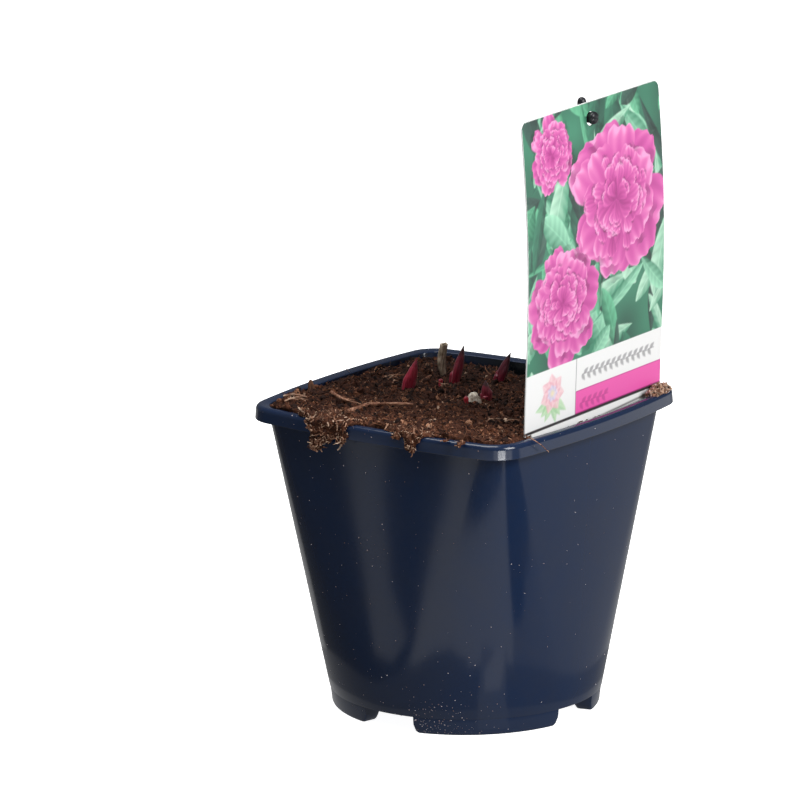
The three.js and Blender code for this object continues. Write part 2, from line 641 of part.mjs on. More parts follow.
// The black stake behind the card, with a round-headed peg through the card's hole.
function labelStake(grow = 0) {
  const rod = new THREE.LatheGeometry([
    new THREE.Vector2(0, STAKE_BOTTOM - grow),
    new THREE.Vector2(STAKE_RADIUS * 0.35 + grow, STAKE_BOTTOM + 1 - grow),
    new THREE.Vector2(STAKE_RADIUS + grow, STAKE_BOTTOM + 14),
    new THREE.Vector2(STAKE_RADIUS + grow, STAKE_TOP - STAKE_RADIUS),
    new THREE.Vector2(STAKE_RADIUS * 0.8 + grow, STAKE_TOP - STAKE_RADIUS * 0.4),
    new THREE.Vector2(STAKE_RADIUS * 0.4 + grow, STAKE_TOP),
    new THREE.Vector2(0, STAKE_TOP + grow),
  ], 12);
  rod.rotateX(Math.PI / 2).translate(STAKE_X, STAKE_Y, 0);
  const pegZ = CARD_HOLE_Z + CARD_HOLE_RADIUS - GAP - PEG_RADIUS;
  const reach = PEG_HEAD_X - STAKE_X;
  const peg = new THREE.CylinderGeometry(PEG_RADIUS, PEG_RADIUS, reach, 12).rotateZ(Math.PI / 2);
  peg.translate(STAKE_X + reach / 2, STAKE_Y, pegZ);
  const head = new THREE.SphereGeometry(PEG_HEAD_RADIUS, 12, 8).scale(0.7, 1, 1);
  head.translate(PEG_HEAD_X + 0.9, STAKE_Y, pegZ);
  return fused([solid(rod), solid(peg), solid(head)]);
}

// Assembly

function makePlant() {
  const pot = makePot();
  const lipRoom = lipSpace();
  const shootHoles = [...SHOOTS.map(shootHole), ...BUDS.map(shootHole), oldStem(GAP)];
  const rootstock = rootstockBody().subtract(fused(shootHoles));
  const slot = labelCard(GAP);
  const soilHoles = [
    ...shootHoles,
    rootstockBody(GAP),
    ...TWIGS.map((spec) => twig(spec, GAP)),
    barkChip(GAP),
    labelStake(GAP),
    slot,
  ];
  const group = new THREE.Group();
  group.add(piece("pot", pot, 0x1c2440, 0.25));
  group.add(piece("soil", makeSoil(lipRoom, soilHoles), 0x38231a, 0.95));
  group.add(piece("soil_corner_crumbs", cornerCrumbs(lipRoom, slot), 0x4a2f20, 0.95));
  group.add(piece("rootstock", rootstock, 0xa08a6c, 0.8));
  for (const spec of SHOOTS) group.add(piece(spec.name, shoot(spec, SCALES), spec.color, 0.45));
  for (const spec of BUDS) group.add(piece(spec.name, shoot(spec, []), spec.color, 0.45));
  group.add(piece("old_stem", oldStem(), 0x6b5a49, 0.85));
  for (const spec of TWIGS) group.add(piece(spec.name, twig(spec), 0x7a5436, 0.9));
  group.add(piece("bark_chip", barkChip(), 0x6a4a34, 0.9));
  group.add(piece("label_card", labelCard(), 0xeaeaea, 0.35));
  group.add(piece("label_stake", labelStake(), 0x101114, 0.4));
  return group;
}

export default makePlant();
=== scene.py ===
"""Looks of a herbaceous peony that is breaking ground in its nursery pot, with its picture label on a stake.

Every object is in the part's own frame, in metres, with +Z up. Sizes in the classes are in millimetres.
"""
import logging
import math
from dataclasses import dataclass
from enum import Enum

import bmesh
import bpy
import numpy as np
from mathutils import Matrix, Vector


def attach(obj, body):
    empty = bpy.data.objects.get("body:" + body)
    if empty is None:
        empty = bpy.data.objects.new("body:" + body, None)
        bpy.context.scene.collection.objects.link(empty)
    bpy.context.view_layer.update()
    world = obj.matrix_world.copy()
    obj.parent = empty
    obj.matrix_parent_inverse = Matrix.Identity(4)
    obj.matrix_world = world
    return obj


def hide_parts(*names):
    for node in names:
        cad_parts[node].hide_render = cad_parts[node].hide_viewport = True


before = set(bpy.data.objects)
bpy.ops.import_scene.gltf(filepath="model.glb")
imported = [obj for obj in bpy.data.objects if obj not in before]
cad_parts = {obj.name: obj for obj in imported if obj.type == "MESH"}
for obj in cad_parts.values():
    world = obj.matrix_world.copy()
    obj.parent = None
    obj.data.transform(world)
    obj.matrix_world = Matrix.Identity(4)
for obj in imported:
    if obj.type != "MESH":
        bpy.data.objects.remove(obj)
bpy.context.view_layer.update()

log = logging.getLogger("peony")

# Short names for types: places and sizes in two and three directions, points with their faces, and Blender's.
Pair = tuple[float, float]
Triple = tuple[float, float, float]
Shell = tuple[np.ndarray, list]
Piece = bpy.types.Object
Material = bpy.types.Material
Tree = bpy.types.NodeTree
Node = bpy.types.Node
Socket = bpy.types.NodeSocket

MM = 0.001
PER_SQUARE_CM = 1e4
BODY = "root"

# Factors of the usual sine hash, which have no common divisor, so that its pattern doesn't repeat in sight.
CHANCE_STEPS = (127.1, 311.7, 191.3, 74.7)
CHANCE_STRETCH = 43758.5453


# Numbers and noise


def linear(code: str) -> tuple[float, float, float, float]:
    """Turns an sRGB hex colour into linear light.

    Args:
        code: colour as "#rrggbb".

    Returns:
        Red, green and blue in linear light, and a full alpha.
    """
    parts = [int(code[k:k + 2], 16) / 255 for k in (1, 3, 5)]
    light = [p / 12.92 if p <= 0.04045 else ((p + 0.055) / 1.055) ** 2.4 for p in parts]
    return light[0], light[1], light[2], 1.0


def light_of(code: str) -> np.ndarray:
    """The linear red, green and blue of an sRGB hex colour."""
    return np.array(linear(code)[:3])


def smoothstep(value: np.ndarray | float, low: float, high: float) -> np.ndarray:
    """Rises smoothly from 0 at low to 1 at high."""
    share = np.clip((np.asarray(value, float) - low) / (high - low), 0, 1)
    return share * share * (3 - 2 * share)


def chance(*parts: np.ndarray | float) -> np.ndarray:
    """A value that looks random but is the same for the same whole numbers.

    Args:
        *parts: up to four whole numbers, or arrays of them.

    Returns:
        Values from 0 to 1.
    """
    mixed = sum(np.asarray(part, float) * step for part, step in zip(parts, CHANCE_STEPS))
    value = np.sin(mixed) * CHANCE_STRETCH
    return value - np.floor(value)


def grain(points: np.ndarray, size: float, seed: int) -> np.ndarray:
    """Smooth noise in space.

    Args:
        points: rows of x, y and z in millimetres.
        size: width of one lump of the noise in millimetres.
        seed: number of the pattern.

    Returns:
        A value from -1 to 1 for each point.
    """
    place = points / size
    cell = np.floor(place)
    part = place - cell
    part = part * part * (3 - 2 * part)
    total = np.zeros(len(points))
    for corner in range(8):
        step = np.array([corner & 1, corner >> 1 & 1, corner >> 2 & 1])
        weight = np.prod(np.where(step, part, 1 - part), axis=1)
        at = cell + step
        total += weight * chance(at[:, 0], at[:, 1], at[:, 2], seed)
    return 2 * total - 1


def crumbs(x: np.ndarray, y: np.ndarray, size: float, seed: int) -> np.ndarray:
    """Height of a layer of rounded crumbs that lie side by side.

    Args:
        x: places along X in millimetres.
        y: places along Y in millimetres.
        size: spacing of the crumbs in millimetres.
        seed: number of the pattern.

    Returns:
        Height from 0 between the crumbs to about 1 on the tallest.
    """
    i, j = np.floor(x / size), np.floor(y / size)
    height = np.zeros_like(x)
    for di in (-1, 0, 1):
        for dj in (-1, 0, 1):
            ci, cj = i + di, j + dj
            middle_x = (ci + 0.1 + 0.8 * chance(ci, cj, 1, seed)) * size
            middle_y = (cj + 0.1 + 0.8 * chance(ci, cj, 2, seed)) * size
            reach = size * (0.5 + 0.45 * chance(ci, cj, 3, seed))
            tall = 0.35 + 0.65 * chance(ci, cj, 4, seed)
            away = ((x - middle_x) ** 2 + (y - middle_y) ** 2) / reach ** 2
            height = np.maximum(height, tall * np.sqrt(np.clip(1 - away, 0, 1)))
    return height


# Nodes, meshes and pieces


def add_node(tree: Tree, kind: str, settings: dict | None = None, links: dict | None = None) -> Node:
    """Adds a node to a tree.

    Args:
        tree: the node tree.
        kind: type of the node.
        settings: its properties by their lower-case names, its inputs' values by name or number, and as
            "stops" a colour ramp's places from 0 to 1 with their sRGB hex colours, in order.
        links: the outputs that feed its inputs, by the inputs' names or numbers.

    Returns:
        The node.
    """
    node = tree.nodes.new(kind)
    for name, value in (settings or {}).items():
        if name == "stops":
            elements = node.color_ramp.elements
            elements[0].position, elements[0].color = value[0][0], linear(value[0][1])
            elements[1].position, elements[1].color = value[-1][0], linear(value[-1][1])
            for place, code in value[1:-1]:
                elements.new(place).color = linear(code)
        elif isinstance(name, str) and name[0].islower():
            setattr(node, name, value)
        else:
            node.inputs[name].default_value = value
    for name, output in (links or {}).items():
        tree.links.new(output, node.inputs[name])
    return node


@dataclass
class Surface:
    """A new material with one principled shader, and the Object coordinates that its patterns read."""

    name: str

    def __post_init__(self) -> None:
        """Makes the material."""
        self.material = bpy.data.materials.new(self.name)
        self.material.use_nodes = True
        self.tree = self.material.node_tree
        self.shader = self.tree.nodes["Principled BSDF"]
        self.place = self.add("TexCoord").outputs["Object"]

    def add(self, kind: str, settings: dict | None = None, links: dict | None = None) -> Node:
        """Adds a shader node to its tree, as add_node does, with its kind without the word ShaderNode."""
        return add_node(self.tree, f"ShaderNode{kind}", settings, links)

    def finish(self, constants: dict, links: dict | None = None) -> Material:
        """Sets the shader's own sockets and links what varies.

        Args:
            constants: values that are the same all over, by the sockets' names.
            links: outputs that feed the shader's sockets, by the sockets' names.

        Returns:
            The material.
        """
        for name, output in (links or {}).items():
            self.tree.links.new(output, self.shader.inputs[name])
        for name, value in constants.items():
            self.shader.inputs[name].default_value = value
        return self.material


def mesh_piece(name: str, points: np.ndarray, faces: list, smooth: bool = True, sharp: float = 40) -> Piece:
    """Makes an object from points in millimetres.

    Args:
        name: name of the piece.
        points: rows of x, y and z in millimetres.
        faces: the points' numbers for each face, seen anticlockwise from outside.
        smooth: shades it smooth, apart from edges sharper than the angle sharp.
        sharp: angle in degrees.

    Returns:
        The object, at the origin.
    """
    mesh = bpy.data.meshes.new(name)
    mesh.from_pydata((np.asarray(points) * MM).tolist(), [], [list(map(int, face)) for face in faces])
    mesh.update()
    if smooth:
        mesh.shade_smooth()
        mesh.set_sharp_from_angle(angle=math.radians(sharp))
    piece = bpy.data.objects.new(name, mesh)
    bpy.context.scene.collection.objects.link(piece)
    return piece


def rows_of(piece: Piece, what: str) -> np.ndarray:
    """Reads three numbers for each point of a mesh.

    Args:
        piece: the object.
        what: "co" for places in metres, or "normal" for the directions that the points face.

    Returns:
        One row for each point.
    """
    flat = np.empty(len(piece.data.vertices) * 3)
    piece.data.vertices.foreach_get(what, flat)
    return flat.reshape(-1, 3)


def points_of(piece: Piece) -> np.ndarray:
    """The points of a mesh as rows of x, y and z in millimetres."""
    return rows_of(piece, "co") / MM


def move_points(piece: Piece, points: np.ndarray) -> None:
    """Puts a mesh's points at rows of x, y and z in millimetres."""
    piece.data.vertices.foreach_set("co", (points * MM).ravel())
    piece.data.update()


def store(piece: Piece, name: str, values: np.ndarray) -> None:
    """Keeps one value for each point of a mesh, as an attribute."""
    attribute = piece.data.attributes.new(name, "FLOAT", "POINT")
    attribute.data.foreach_set("value", np.asarray(values, np.float32))


def applied(piece: Piece) -> Piece:
    """Turns a piece with its modifiers into a plain mesh.

    Args:
        piece: the object, whose modifiers are removed.

    Returns:
        The same object.
    """
    bpy.context.view_layer.update()
    evaluated = piece.evaluated_get(bpy.context.evaluated_depsgraph_get())
    mesh = bpy.data.meshes.new_from_object(evaluated)
    piece.modifiers.clear()
    piece.data = mesh
    return piece


def joined(name: str, shells: list[Shell]) -> Shell:
    """Puts several shells into one list of points and faces.

    Args:
        name: name for the log.
        shells: points and faces of each shell.

    Returns:
        All points and all faces.
    """
    points, faces, first = [], [], 0
    for shell_points, shell_faces in shells:
        points.append(shell_points)
        faces += [[first + k for k in face] for face in shell_faces]
        first += len(shell_points)
    log.debug("%s: %d shells", name, len(shells))
    return np.concatenate(points), faces


def loft(rings: list[np.ndarray], closed: bool = False) -> Shell:
    """Joins rings of one count of points.

    Args:
        rings: each ring's rows of x, y and z, anticlockwise seen from the far end.
        closed: joins the last ring to the first. Otherwise each end is closed by a fan.

    Returns:
        Points and faces.
    """
    count = len(rings[0])
    points = list(rings)
    faces = []
    for i in range(len(rings) if closed else len(rings) - 1):
        low, high = i * count, (i + 1) % len(rings) * count
        for k in range(count):
            n = (k + 1) % count
            faces.append([low + k, low + n, high + n, high + k])
    if not closed:
        hub = len(rings) * count
        last = (len(rings) - 1) * count
        points.append(np.array([rings[0].mean(axis=0), rings[-1].mean(axis=0)]))
        for k in range(count):
            n = (k + 1) % count
            faces.append([n, k, hub])
            faces.append([last + k, last + n, hub + 1])
    return np.concatenate(points), faces


def border_of(cells: np.ndarray) -> list[list[int]]:
    """Finds the edges of a sheet that only one face has.

    Args:
        cells: rows of each face's four points.

    Returns:
        The two points of each such edge, in its face's order.
    """
    edges = np.concatenate([cells[:, [k, (k + 1) % 4]] for k in range(4)]).tolist()
    known = {tuple(edge) for edge in edges}
    return [edge for edge in edges if (edge[1], edge[0]) not in known]


def sweep(path: np.ndarray, wide: np.ndarray, thick: np.ndarray, sides: int, across: tuple = (0, 1, 0),
          ribs: int = 0, rib_depth: float = 0) -> Shell:
    """A round or oval stem along a path.

    Args:
        path: rows of x, y and z along its middle.
        wide: half width at each row.
        thick: half thickness at each row.
        sides: points round it.
        across: direction that its width is nearest to.
        ribs: ridges along it.
        rib_depth: their height as a share of the width.

    Returns:
        Points and faces.
    """
    along = np.gradient(path, axis=0)
    along /= np.linalg.norm(along, axis=1, keepdims=True)
    side = np.array(across, float) - along * (along @ np.array(across, float))[:, None]
    side /= np.linalg.norm(side, axis=1, keepdims=True)
    out = np.cross(along, side)
    turns = np.arange(sides) * 2 * np.pi / sides
    swell = 1 + rib_depth * np.cos(ribs * turns) if ribs else np.ones(sides)
    rings = []
    for k in range(len(path)):
        ring = path[k] + np.outer(np.cos(turns) * swell * wide[k], side[k])
        rings.append(ring + np.outer(np.sin(turns) * swell * thick[k], out[k]))
    return loft(rings)


def curve_through(points: list, steps: int) -> np.ndarray:
    """A smooth curve through points.

    Args:
        points: the points that it passes.
        steps: number of its spans.

    Returns:
        Rows of x, y and z.
    """
    knots = np.array(points, float)
    ends = np.vstack([2 * knots[0] - knots[1], knots, 2 * knots[-1] - knots[-2]])
    rows = []
    for share in np.linspace(0, len(knots) - 1, steps + 1):
        k = min(int(share), len(knots) - 2)
        t = share - k
        a, b, c, d = ends[k:k + 4]
        square, cube = 2 * a - 5 * b + 4 * c - d, 3 * b - a - 3 * c + d
        rows.append(0.5 * (2 * b + (c - a) * t + square * t * t + cube * t ** 3))
    return np.array(rows)


def knob(middle: tuple, sizes: tuple, seed: int, detail: int = 3) -> Shell:
    """A knobbly ball.

    Args:
        middle: its middle.
        sizes: its half sizes.
        seed: number of its pattern.
        detail: how finely its skin is divided.

    Returns:
        Points and faces.
    """
    ball = bmesh.new()
    bmesh.ops.create_icosphere(ball, subdivisions=detail, radius=1)
    points = np.array([v.co for v in ball.verts])
    faces = [[v.index for v in face.verts] for face in ball.faces]
    ball.free()
    swell = 1 + 0.25 * grain(points * 10, 6, seed) + 0.125 * grain(points * 10, 2.6, seed + 1)
    return points * swell[:, None] * np.array(sizes) + np.array(middle), faces


def melted(piece: Piece, voxel: float) -> Piece:
    """Melts a piece's overlapping shells into one skin.

    Args:
        piece: the object.
        voxel: width of the new skin's faces in millimetres.

    Returns:
        The same object.
    """
    modifier = piece.modifiers.new("melt", "REMESH")
    modifier.mode = "VOXEL"
    modifier.voxel_size = voxel * MM
    return applied(piece)


def finished(piece: Piece, material: Material, replaces: tuple[str, ...] = (),
             smooth: bool | None = None) -> Piece:
    """Gives a piece its material and its place in the part.

    Args:
        piece: the object.
        material: its finish.
        replaces: the solids that it stands for.
        smooth: shades it smooth or flat. None leaves it.

    Returns:
        The object.
    """
    piece.data.materials.clear()
    piece.data.materials.append(material)
    if smooth is not None:
        piece.data.polygons.foreach_set("use_smooth", [smooth] * len(piece.data.polygons))
    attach(piece, BODY)
    if replaces:
        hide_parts(*replaces)
    triangles = sum(len(face.vertices) - 2 for face in piece.data.polygons)
    log.info("%s: %d triangles", piece.name, triangles)
    return piece


# Finishes


@dataclass(frozen=True)
class MouldedPotPlastic:
    """Injection-moulded polypropylene, glossy and dark blue.

    The mould's polish makes mirror-like reflections, which long flow waves in the wall bend a little.
    The inside wall is painted darker from the point attribute inside, most to the back right: painted shade.
    """

    colour: str = "#132645"
    dull: str = "#1b2842"
    # Colour of the painted shade on the pot's inside wall.
    inside: str = "#070d12"
    roughness: float = 0.13
    scuffed: float = 0.08
    ior: float = 1.49
    film_mm: float = 18
    scuff_mm: float = 1.2
    wave_mm: float = 55
    wave_depth_mm: float = 0.8

    def make(self) -> Material:
        """Makes the material.

        Returns:
            The material.
        """
        skin = Surface("polypropylene moulded gloss dark blue")
        film = skin.add("TexNoise",
                        {"Scale": 1 / (self.film_mm * MM), "Detail": 6, "Roughness": 0.65},
                        {"Vector": skin.place})
        tint = skin.add("ValToRGB", {"stops": [(0.35, self.colour), (0.75, self.dull)]},
                        {0: film.outputs["Fac"]})
        # Painted shade: the inside wall is mixed towards the dark inside colour as much as the attribute
        # inside says.
        inner = skin.add("Attribute", {"attribute_name": "inside"})
        mixed = skin.add("Mix", {"data_type": "RGBA", 7: linear(self.inside)},
                         {0: inner.outputs["Fac"], 6: tint.outputs["Color"]})
        scuffs = skin.add("TexNoise", {"Scale": 1 / (self.scuff_mm * MM), "Detail": 3},
                          {"Vector": skin.place})
        rough = skin.add("MapRange", {"From Min": 0.4, "From Max": 0.8, "To Min": self.roughness,
                                                "To Max": self.roughness + self.scuffed},
                         {"Value": scuffs.outputs["Fac"]})
        waves = skin.add("TexNoise", {"Scale": 1 / (self.wave_mm * MM), "Detail": 1}, {"Vector": skin.place})
        bump = skin.add("Bump", {"Strength": 0.35, "Distance": self.wave_depth_mm * MM},
                        {"Height": waves.outputs["Fac"]})
        return skin.finish({"IOR": self.ior},
                           {"Base Color": mixed.outputs[2], "Roughness": rough.outputs["Result"],
                                               "Normal": bump.outputs["Normal"]})


@dataclass(frozen=True)
class PaintedShading:
    """Painted shade and painted light on the potting mix: darker to the back left, paler to the front right
    and most over the front rim.
    """

    towards: Triple = (0.45, -1, 0)
    shaded_end_mm: float = -90
    lit_end_mm: float = 95
    # Wet and dry move the colour ramp at the shaded back left and the lit front right: painted shade and
    # painted light.
    wet: float = -0.13
    dry: float = 0.055
    rim_from_mm: float = -77
    rim_to_mm: float = -88
    rim: float = 0.04

    def added(self, surface: Surface, share: float) -> Socket:
        """Works out what to add to the place in a colour ramp.

        Args:
            surface: the material that is being made.
            share: how strongly the painted shade and light show, from 0 to 1.

        Returns:
            The output that holds it.
        """
        along = surface.add("VectorMath", {"operation": "DOT_PRODUCT", 1: self.towards}, {0: surface.place})
        slope = surface.add("MapRange",
                            {"From Min": self.shaded_end_mm * MM, "From Max": self.lit_end_mm * MM,
                             "To Min": self.wet * share, "To Max": self.dry * share},
                            {"Value": along.outputs["Value"]})
        parts = surface.add("SeparateXYZ", links={0: surface.place})
        edge = surface.add("MapRange",
                           {"From Min": self.rim_from_mm * MM, "From Max": self.rim_to_mm * MM, "To Min": 0,
                            "To Max": self.rim * share},
                           {"Value": parts.outputs["Y"]})
        return surface.add("Math", {"operation": "ADD"},
                           {0: slope.outputs["Result"], 1: edge.outputs["Result"]}).outputs[0]


@dataclass(frozen=True)
class PottingMix:
    """Moist peat and coir potting mix, dark brown with paler dry fibres and matt all over."""

    wet: str = "#130805"
    middle: str = "#361b0f"
    damp: str = "#4f2c1b"
    dry: str = "#7e523c"
    crumb_mm: float = 2.2
    fibre_mm: float = 0.7
    depth_mm: float = 0.5
    roughness: float = 0.88
    specular: float = 0.25

    def make(self) -> Material:
        """Makes the material.

        Returns:
            The material.
        """
        skin = Surface("potting mix of peat and coir")
        coarse = skin.add("TexNoise",
                          {"Scale": 1 / (self.crumb_mm * MM), "Detail": 5, "Roughness": 0.7},
                          {"Vector": skin.place})
        stretched = skin.add("Mapping", {"Rotation": (0.4, 0.2, 0.7), "Scale": (1, 0.25, 0.6)},
                             {"Vector": skin.place})
        fine = skin.add("TexNoise", {"Scale": 1 / (self.fibre_mm * MM), "Detail": 2},
                        {"Vector": stretched.outputs["Vector"]})
        both = skin.add("Math", {"operation": "MULTIPLY_ADD", 1: 0.5},
                        {0: fine.outputs["Fac"], 2: coarse.outputs["Fac"]})
        # Painted shade and painted light: the ramp moves darker to the back left and paler to the front
        # right.
        total = skin.add("Math", {"operation": "ADD"}, {0: both.outputs[0], 1: PaintedShading().added(skin, 1)})
        stops = [(0.5, self.wet), (0.74, self.middle), (0.87, self.damp), (1.0, self.dry)]
        tint = skin.add("ValToRGB", {"stops": stops}, {0: total.outputs[0]})
        bump = skin.add("Bump", {"Strength": 0.7, "Distance": self.depth_mm * MM},
                        {"Height": both.outputs[0]})
        return skin.finish({"Roughness": self.roughness, "Specular IOR Level": self.specular},
                           {"Base Color": tint.outputs["Color"], "Normal": bump.outputs["Normal"]})


@dataclass(frozen=True)
class StrewnBits:
    """Loose crumbs or fibres, each with its own tint, matt and rough."""

    name: str
    stops: tuple[tuple[float, str], ...]
    roughness: float = 0.85
    # Share of the bed's painted shade and painted light that the bits take.
    shading_share: float = 1
    specular: float = 0.25
    mottle_mm: float = 0.9
    mottle: float = 0.12

    def make(self) -> Material:
        """Makes the material.

        Returns:
            The material.
        """
        skin = Surface(self.name)
        own = skin.add("Attribute", {"attribute_name": "tint"})
        mottle = skin.add("TexNoise", {"Scale": 1 / (self.mottle_mm * MM), "Detail": 2},
                          {"Vector": skin.place})
        spread = skin.add("MapRange", {"From Min": 0.3, "From Max": 0.7, "To Min": -self.mottle,
                                                 "To Max": self.mottle}, {"Value": mottle.outputs["Fac"]})
        first = skin.add("Math", {"operation": "ADD"}, {0: own.outputs["Fac"], 1: spread.outputs["Result"]})
        # The bits take the bed's painted shade and painted light, in their share of it.
        total = skin.add("Math", {"operation": "ADD"},
                         {0: first.outputs[0], 1: PaintedShading().added(skin, self.shading_share)})
        tint = skin.add("ValToRGB", {"stops": self.stops}, {0: total.outputs[0]})
        return skin.finish({"Roughness": self.roughness, "Specular IOR Level": self.specular},
                           {"Base Color": tint.outputs["Color"]})


CRUMB_TINTS = ((0.0, "#130806"), (0.5, "#33190f"), (0.78, "#4d2b1b"), (0.94, "#714731"), (1.0, "#a1765c"))
FIBRE_TINTS = ((0.0, "#28140c"), (0.5, "#522f1e"), (0.85, "#84573e"), (1.0, "#ba9070"))
DRY_TINTS = ((0.0, "#2f1b12"), (0.45, "#5f3f30"), (0.8, "#96705a"), (1.0, "#d0b096"))
FLAKE_TINTS = ((0.0, "#6a4838"), (0.55, "#a37b64"), (1.0, "#d6b8a0"))
GRIT_TINTS = ((0.0, "#5a3f32"), (0.5, "#a58c7c"), (1.0, "#d9cfc8"))
DUST_TINTS = ((0.0, "#5f4e4f"), (0.5, "#95888c"), (1.0, "#d2ccd2"))


@dataclass(frozen=True)
class WaxyScale:
    """Skin of a peony shoot: waxy crimson to maroon, with fine veins along it and a soft sheen."""

    name: str
    low: str
    high: str
    tip: str
    vein: str
    veins: float = 24
    vein_share: float = 0.18
    vein_depth_mm: float = 0.15
    blotch_mm: float = 2.5
    blotch_share: float = 0.35
    roughness: float = 0.38
    sheen: float = 0.15
    flesh: float = 0.12
    flesh_colours: Triple = (1.0, 0.25, 0.15)
    flesh_depth_mm: float = 0.8

    def make(self) -> Material:
        """Makes the material.

        Returns:
            The material.
        """
        skin = Surface(self.name)
        up = skin.add("Attribute", {"attribute_name": "height_share"})
        around = skin.add("Attribute", {"attribute_name": "round_share"})
        blotch = skin.add("TexNoise", {"Scale": 1 / (self.blotch_mm * MM), "Detail": 3},
                          {"Vector": skin.place})
        moved = skin.add("Math", {"operation": "MULTIPLY_ADD", 1: self.blotch_share},
                         {0: blotch.outputs["Fac"], 2: up.outputs["Fac"]})
        stops = [(0.12, self.low), (0.6, self.high), (1.15 / 1.35, self.high), (1.0, self.tip)]
        body = skin.add("ValToRGB", {"stops": stops}, {0: moved.outputs[0]})
        stripes = skin.add("Math", {"operation": "MULTIPLY", 1: self.veins}, {0: around.outputs["Fac"]})
        wave = skin.add("Math", {"operation": "SINE"}, {0: stripes.outputs[0]})
        lines = skin.add("MapRange", {"From Min": 0.2, "From Max": 1, "To Min": 0,
                                                "To Max": self.vein_share}, {"Value": wave.outputs[0]})
        mixed = skin.add("Mix", {"data_type": "RGBA", 7: linear(self.vein)},
                         {0: lines.outputs["Result"], 6: body.outputs["Color"]})
        bump = skin.add("Bump", {"Strength": 0.25, "Distance": self.vein_depth_mm * MM},
                        {"Height": wave.outputs[0]})
        return skin.finish({"Roughness": self.roughness, "Subsurface Weight": self.flesh,
                            "Subsurface Radius": self.flesh_colours,
                            "Subsurface Scale": self.flesh_depth_mm * MM,
                            "Sheen Weight": self.sheen},
                           {"Base Color": mixed.outputs[2], "Normal": bump.outputs["Normal"]})


@dataclass(frozen=True)
class WeatheredFibre:
    """Dry plant matter such as a dead stalk, bark or straw: grooved along it, dull, with dark stains."""

    name: str
    dark: str
    middle: str
    pale: str
    groove_mm: float
    along: Triple = (1, 1, 0.15)
    stain_mm: float = 4
    stain_share: float = 0.45
    depth_mm: float = 0.3
    roughness: float = 0.8

    def make(self) -> Material:
        """Makes the material.

        Returns:
            The material.
        """
        skin = Surface(self.name)
        stretched = skin.add("Mapping", {"Scale": self.along}, {"Vector": skin.place})
        lines = skin.add("TexNoise", {"Scale": 1 / (self.groove_mm * MM), "Detail": 4},
                         {"Vector": stretched.outputs["Vector"]})
        stain = skin.add("TexNoise", {"Scale": 1 / (self.stain_mm * MM), "Detail": 3}, {"Vector": skin.place})
        total = skin.add("Math", {"operation": "MULTIPLY_ADD", 1: self.stain_share},
                         {0: stain.outputs["Fac"], 2: lines.outputs["Fac"]})
        stops = [(0.5, self.dark), (0.72, self.middle), (0.9, self.pale)]
        tint = skin.add("ValToRGB", {"stops": stops}, {0: total.outputs[0]})
        bump = skin.add("Bump", {"Strength": 0.8, "Distance": self.depth_mm * MM},
                        {"Height": lines.outputs["Fac"]})
        return skin.finish({"Roughness": self.roughness},
                           {"Base Color": tint.outputs["Color"], "Normal": bump.outputs["Normal"]})


@dataclass(frozen=True)
class PrintedCard:
    """Polypropylene sheet printed in four colours, with a satin face that softens reflections."""

    roughness: float = 0.34
    hammer_mm: float = 0.6
    depth_mm: float = 0.1

    def make(self) -> Material:
        """Makes the material.

        Returns:
            The material.
        """
        skin = Surface("polypropylene sheet printed satin")
        ink = skin.add("VertexColor", {"layer_name": "print"})
        hammer = skin.add("TexNoise", {"Scale": 1 / (self.hammer_mm * MM), "Detail": 2},
                          {"Vector": skin.place})
        bump = skin.add("Bump", {"Strength": 0.05, "Distance": self.depth_mm * MM},
                        {"Height": hammer.outputs["Fac"]})
        return skin.finish({"Roughness": self.roughness},
                           {"Base Color": ink.outputs["Color"], "Normal": bump.outputs["Normal"]})


@dataclass(frozen=True)
class BlackStakePlastic:
    """Black moulded polypropylene with a fine matt grain from the mould."""

    colour: str = "#121317"
    worn: str = "#20222a"
    grain_mm: float = 0.5
    depth_mm: float = 0.1
    roughness: float = 0.42

    def make(self) -> Material:
        """Makes the material.

        Returns:
            The material.
        """
        skin = Surface("polypropylene moulded matt black")
        noise = skin.add("TexNoise", {"Scale": 1 / (self.grain_mm * MM), "Detail": 2}, {"Vector": skin.place})
        tint = skin.add("ValToRGB", {"stops": [(0.35, self.colour), (0.8, self.worn)]},
                        {0: noise.outputs["Fac"]})
        bump = skin.add("Bump", {"Strength": 0.15, "Distance": self.depth_mm * MM},
                        {"Height": noise.outputs["Fac"]})
        return skin.finish({"Roughness": self.roughness},
                           {"Base Color": tint.outputs["Color"], "Normal": bump.outputs["Normal"]})


@dataclass(frozen=True)
class StudioPaper:
    """White paper that glows a little, so that it stays white in the object's shade."""

    name: str
    glow: float
    tooth_mm: float = 40

    def make(self) -> Material:
        """Makes the material.

        Returns:
            The material.
        """
        skin = Surface(self.name)
        tooth = skin.add("TexNoise", {"Scale": 1 / (self.tooth_mm * MM), "Detail": 2}, {"Vector": skin.place})
        tint = skin.add("ValToRGB", {"stops": [(0.3, "#f6f6f6"), (0.7, "#f9f9f9")]},
                        {0: tooth.outputs["Fac"]})
        return skin.finish({"Roughness": 0.9, "Emission Color": (1, 1, 1, 1), "Emission Strength": self.glow},
                           {"Base Color": tint.outputs["Color"]})


# Scattering


class BitShape(Enum):
    """Shape of one scattered bit."""

    CRUMB = "crumb"
    GRIT = "grit"
    FIBRE = "fibre"


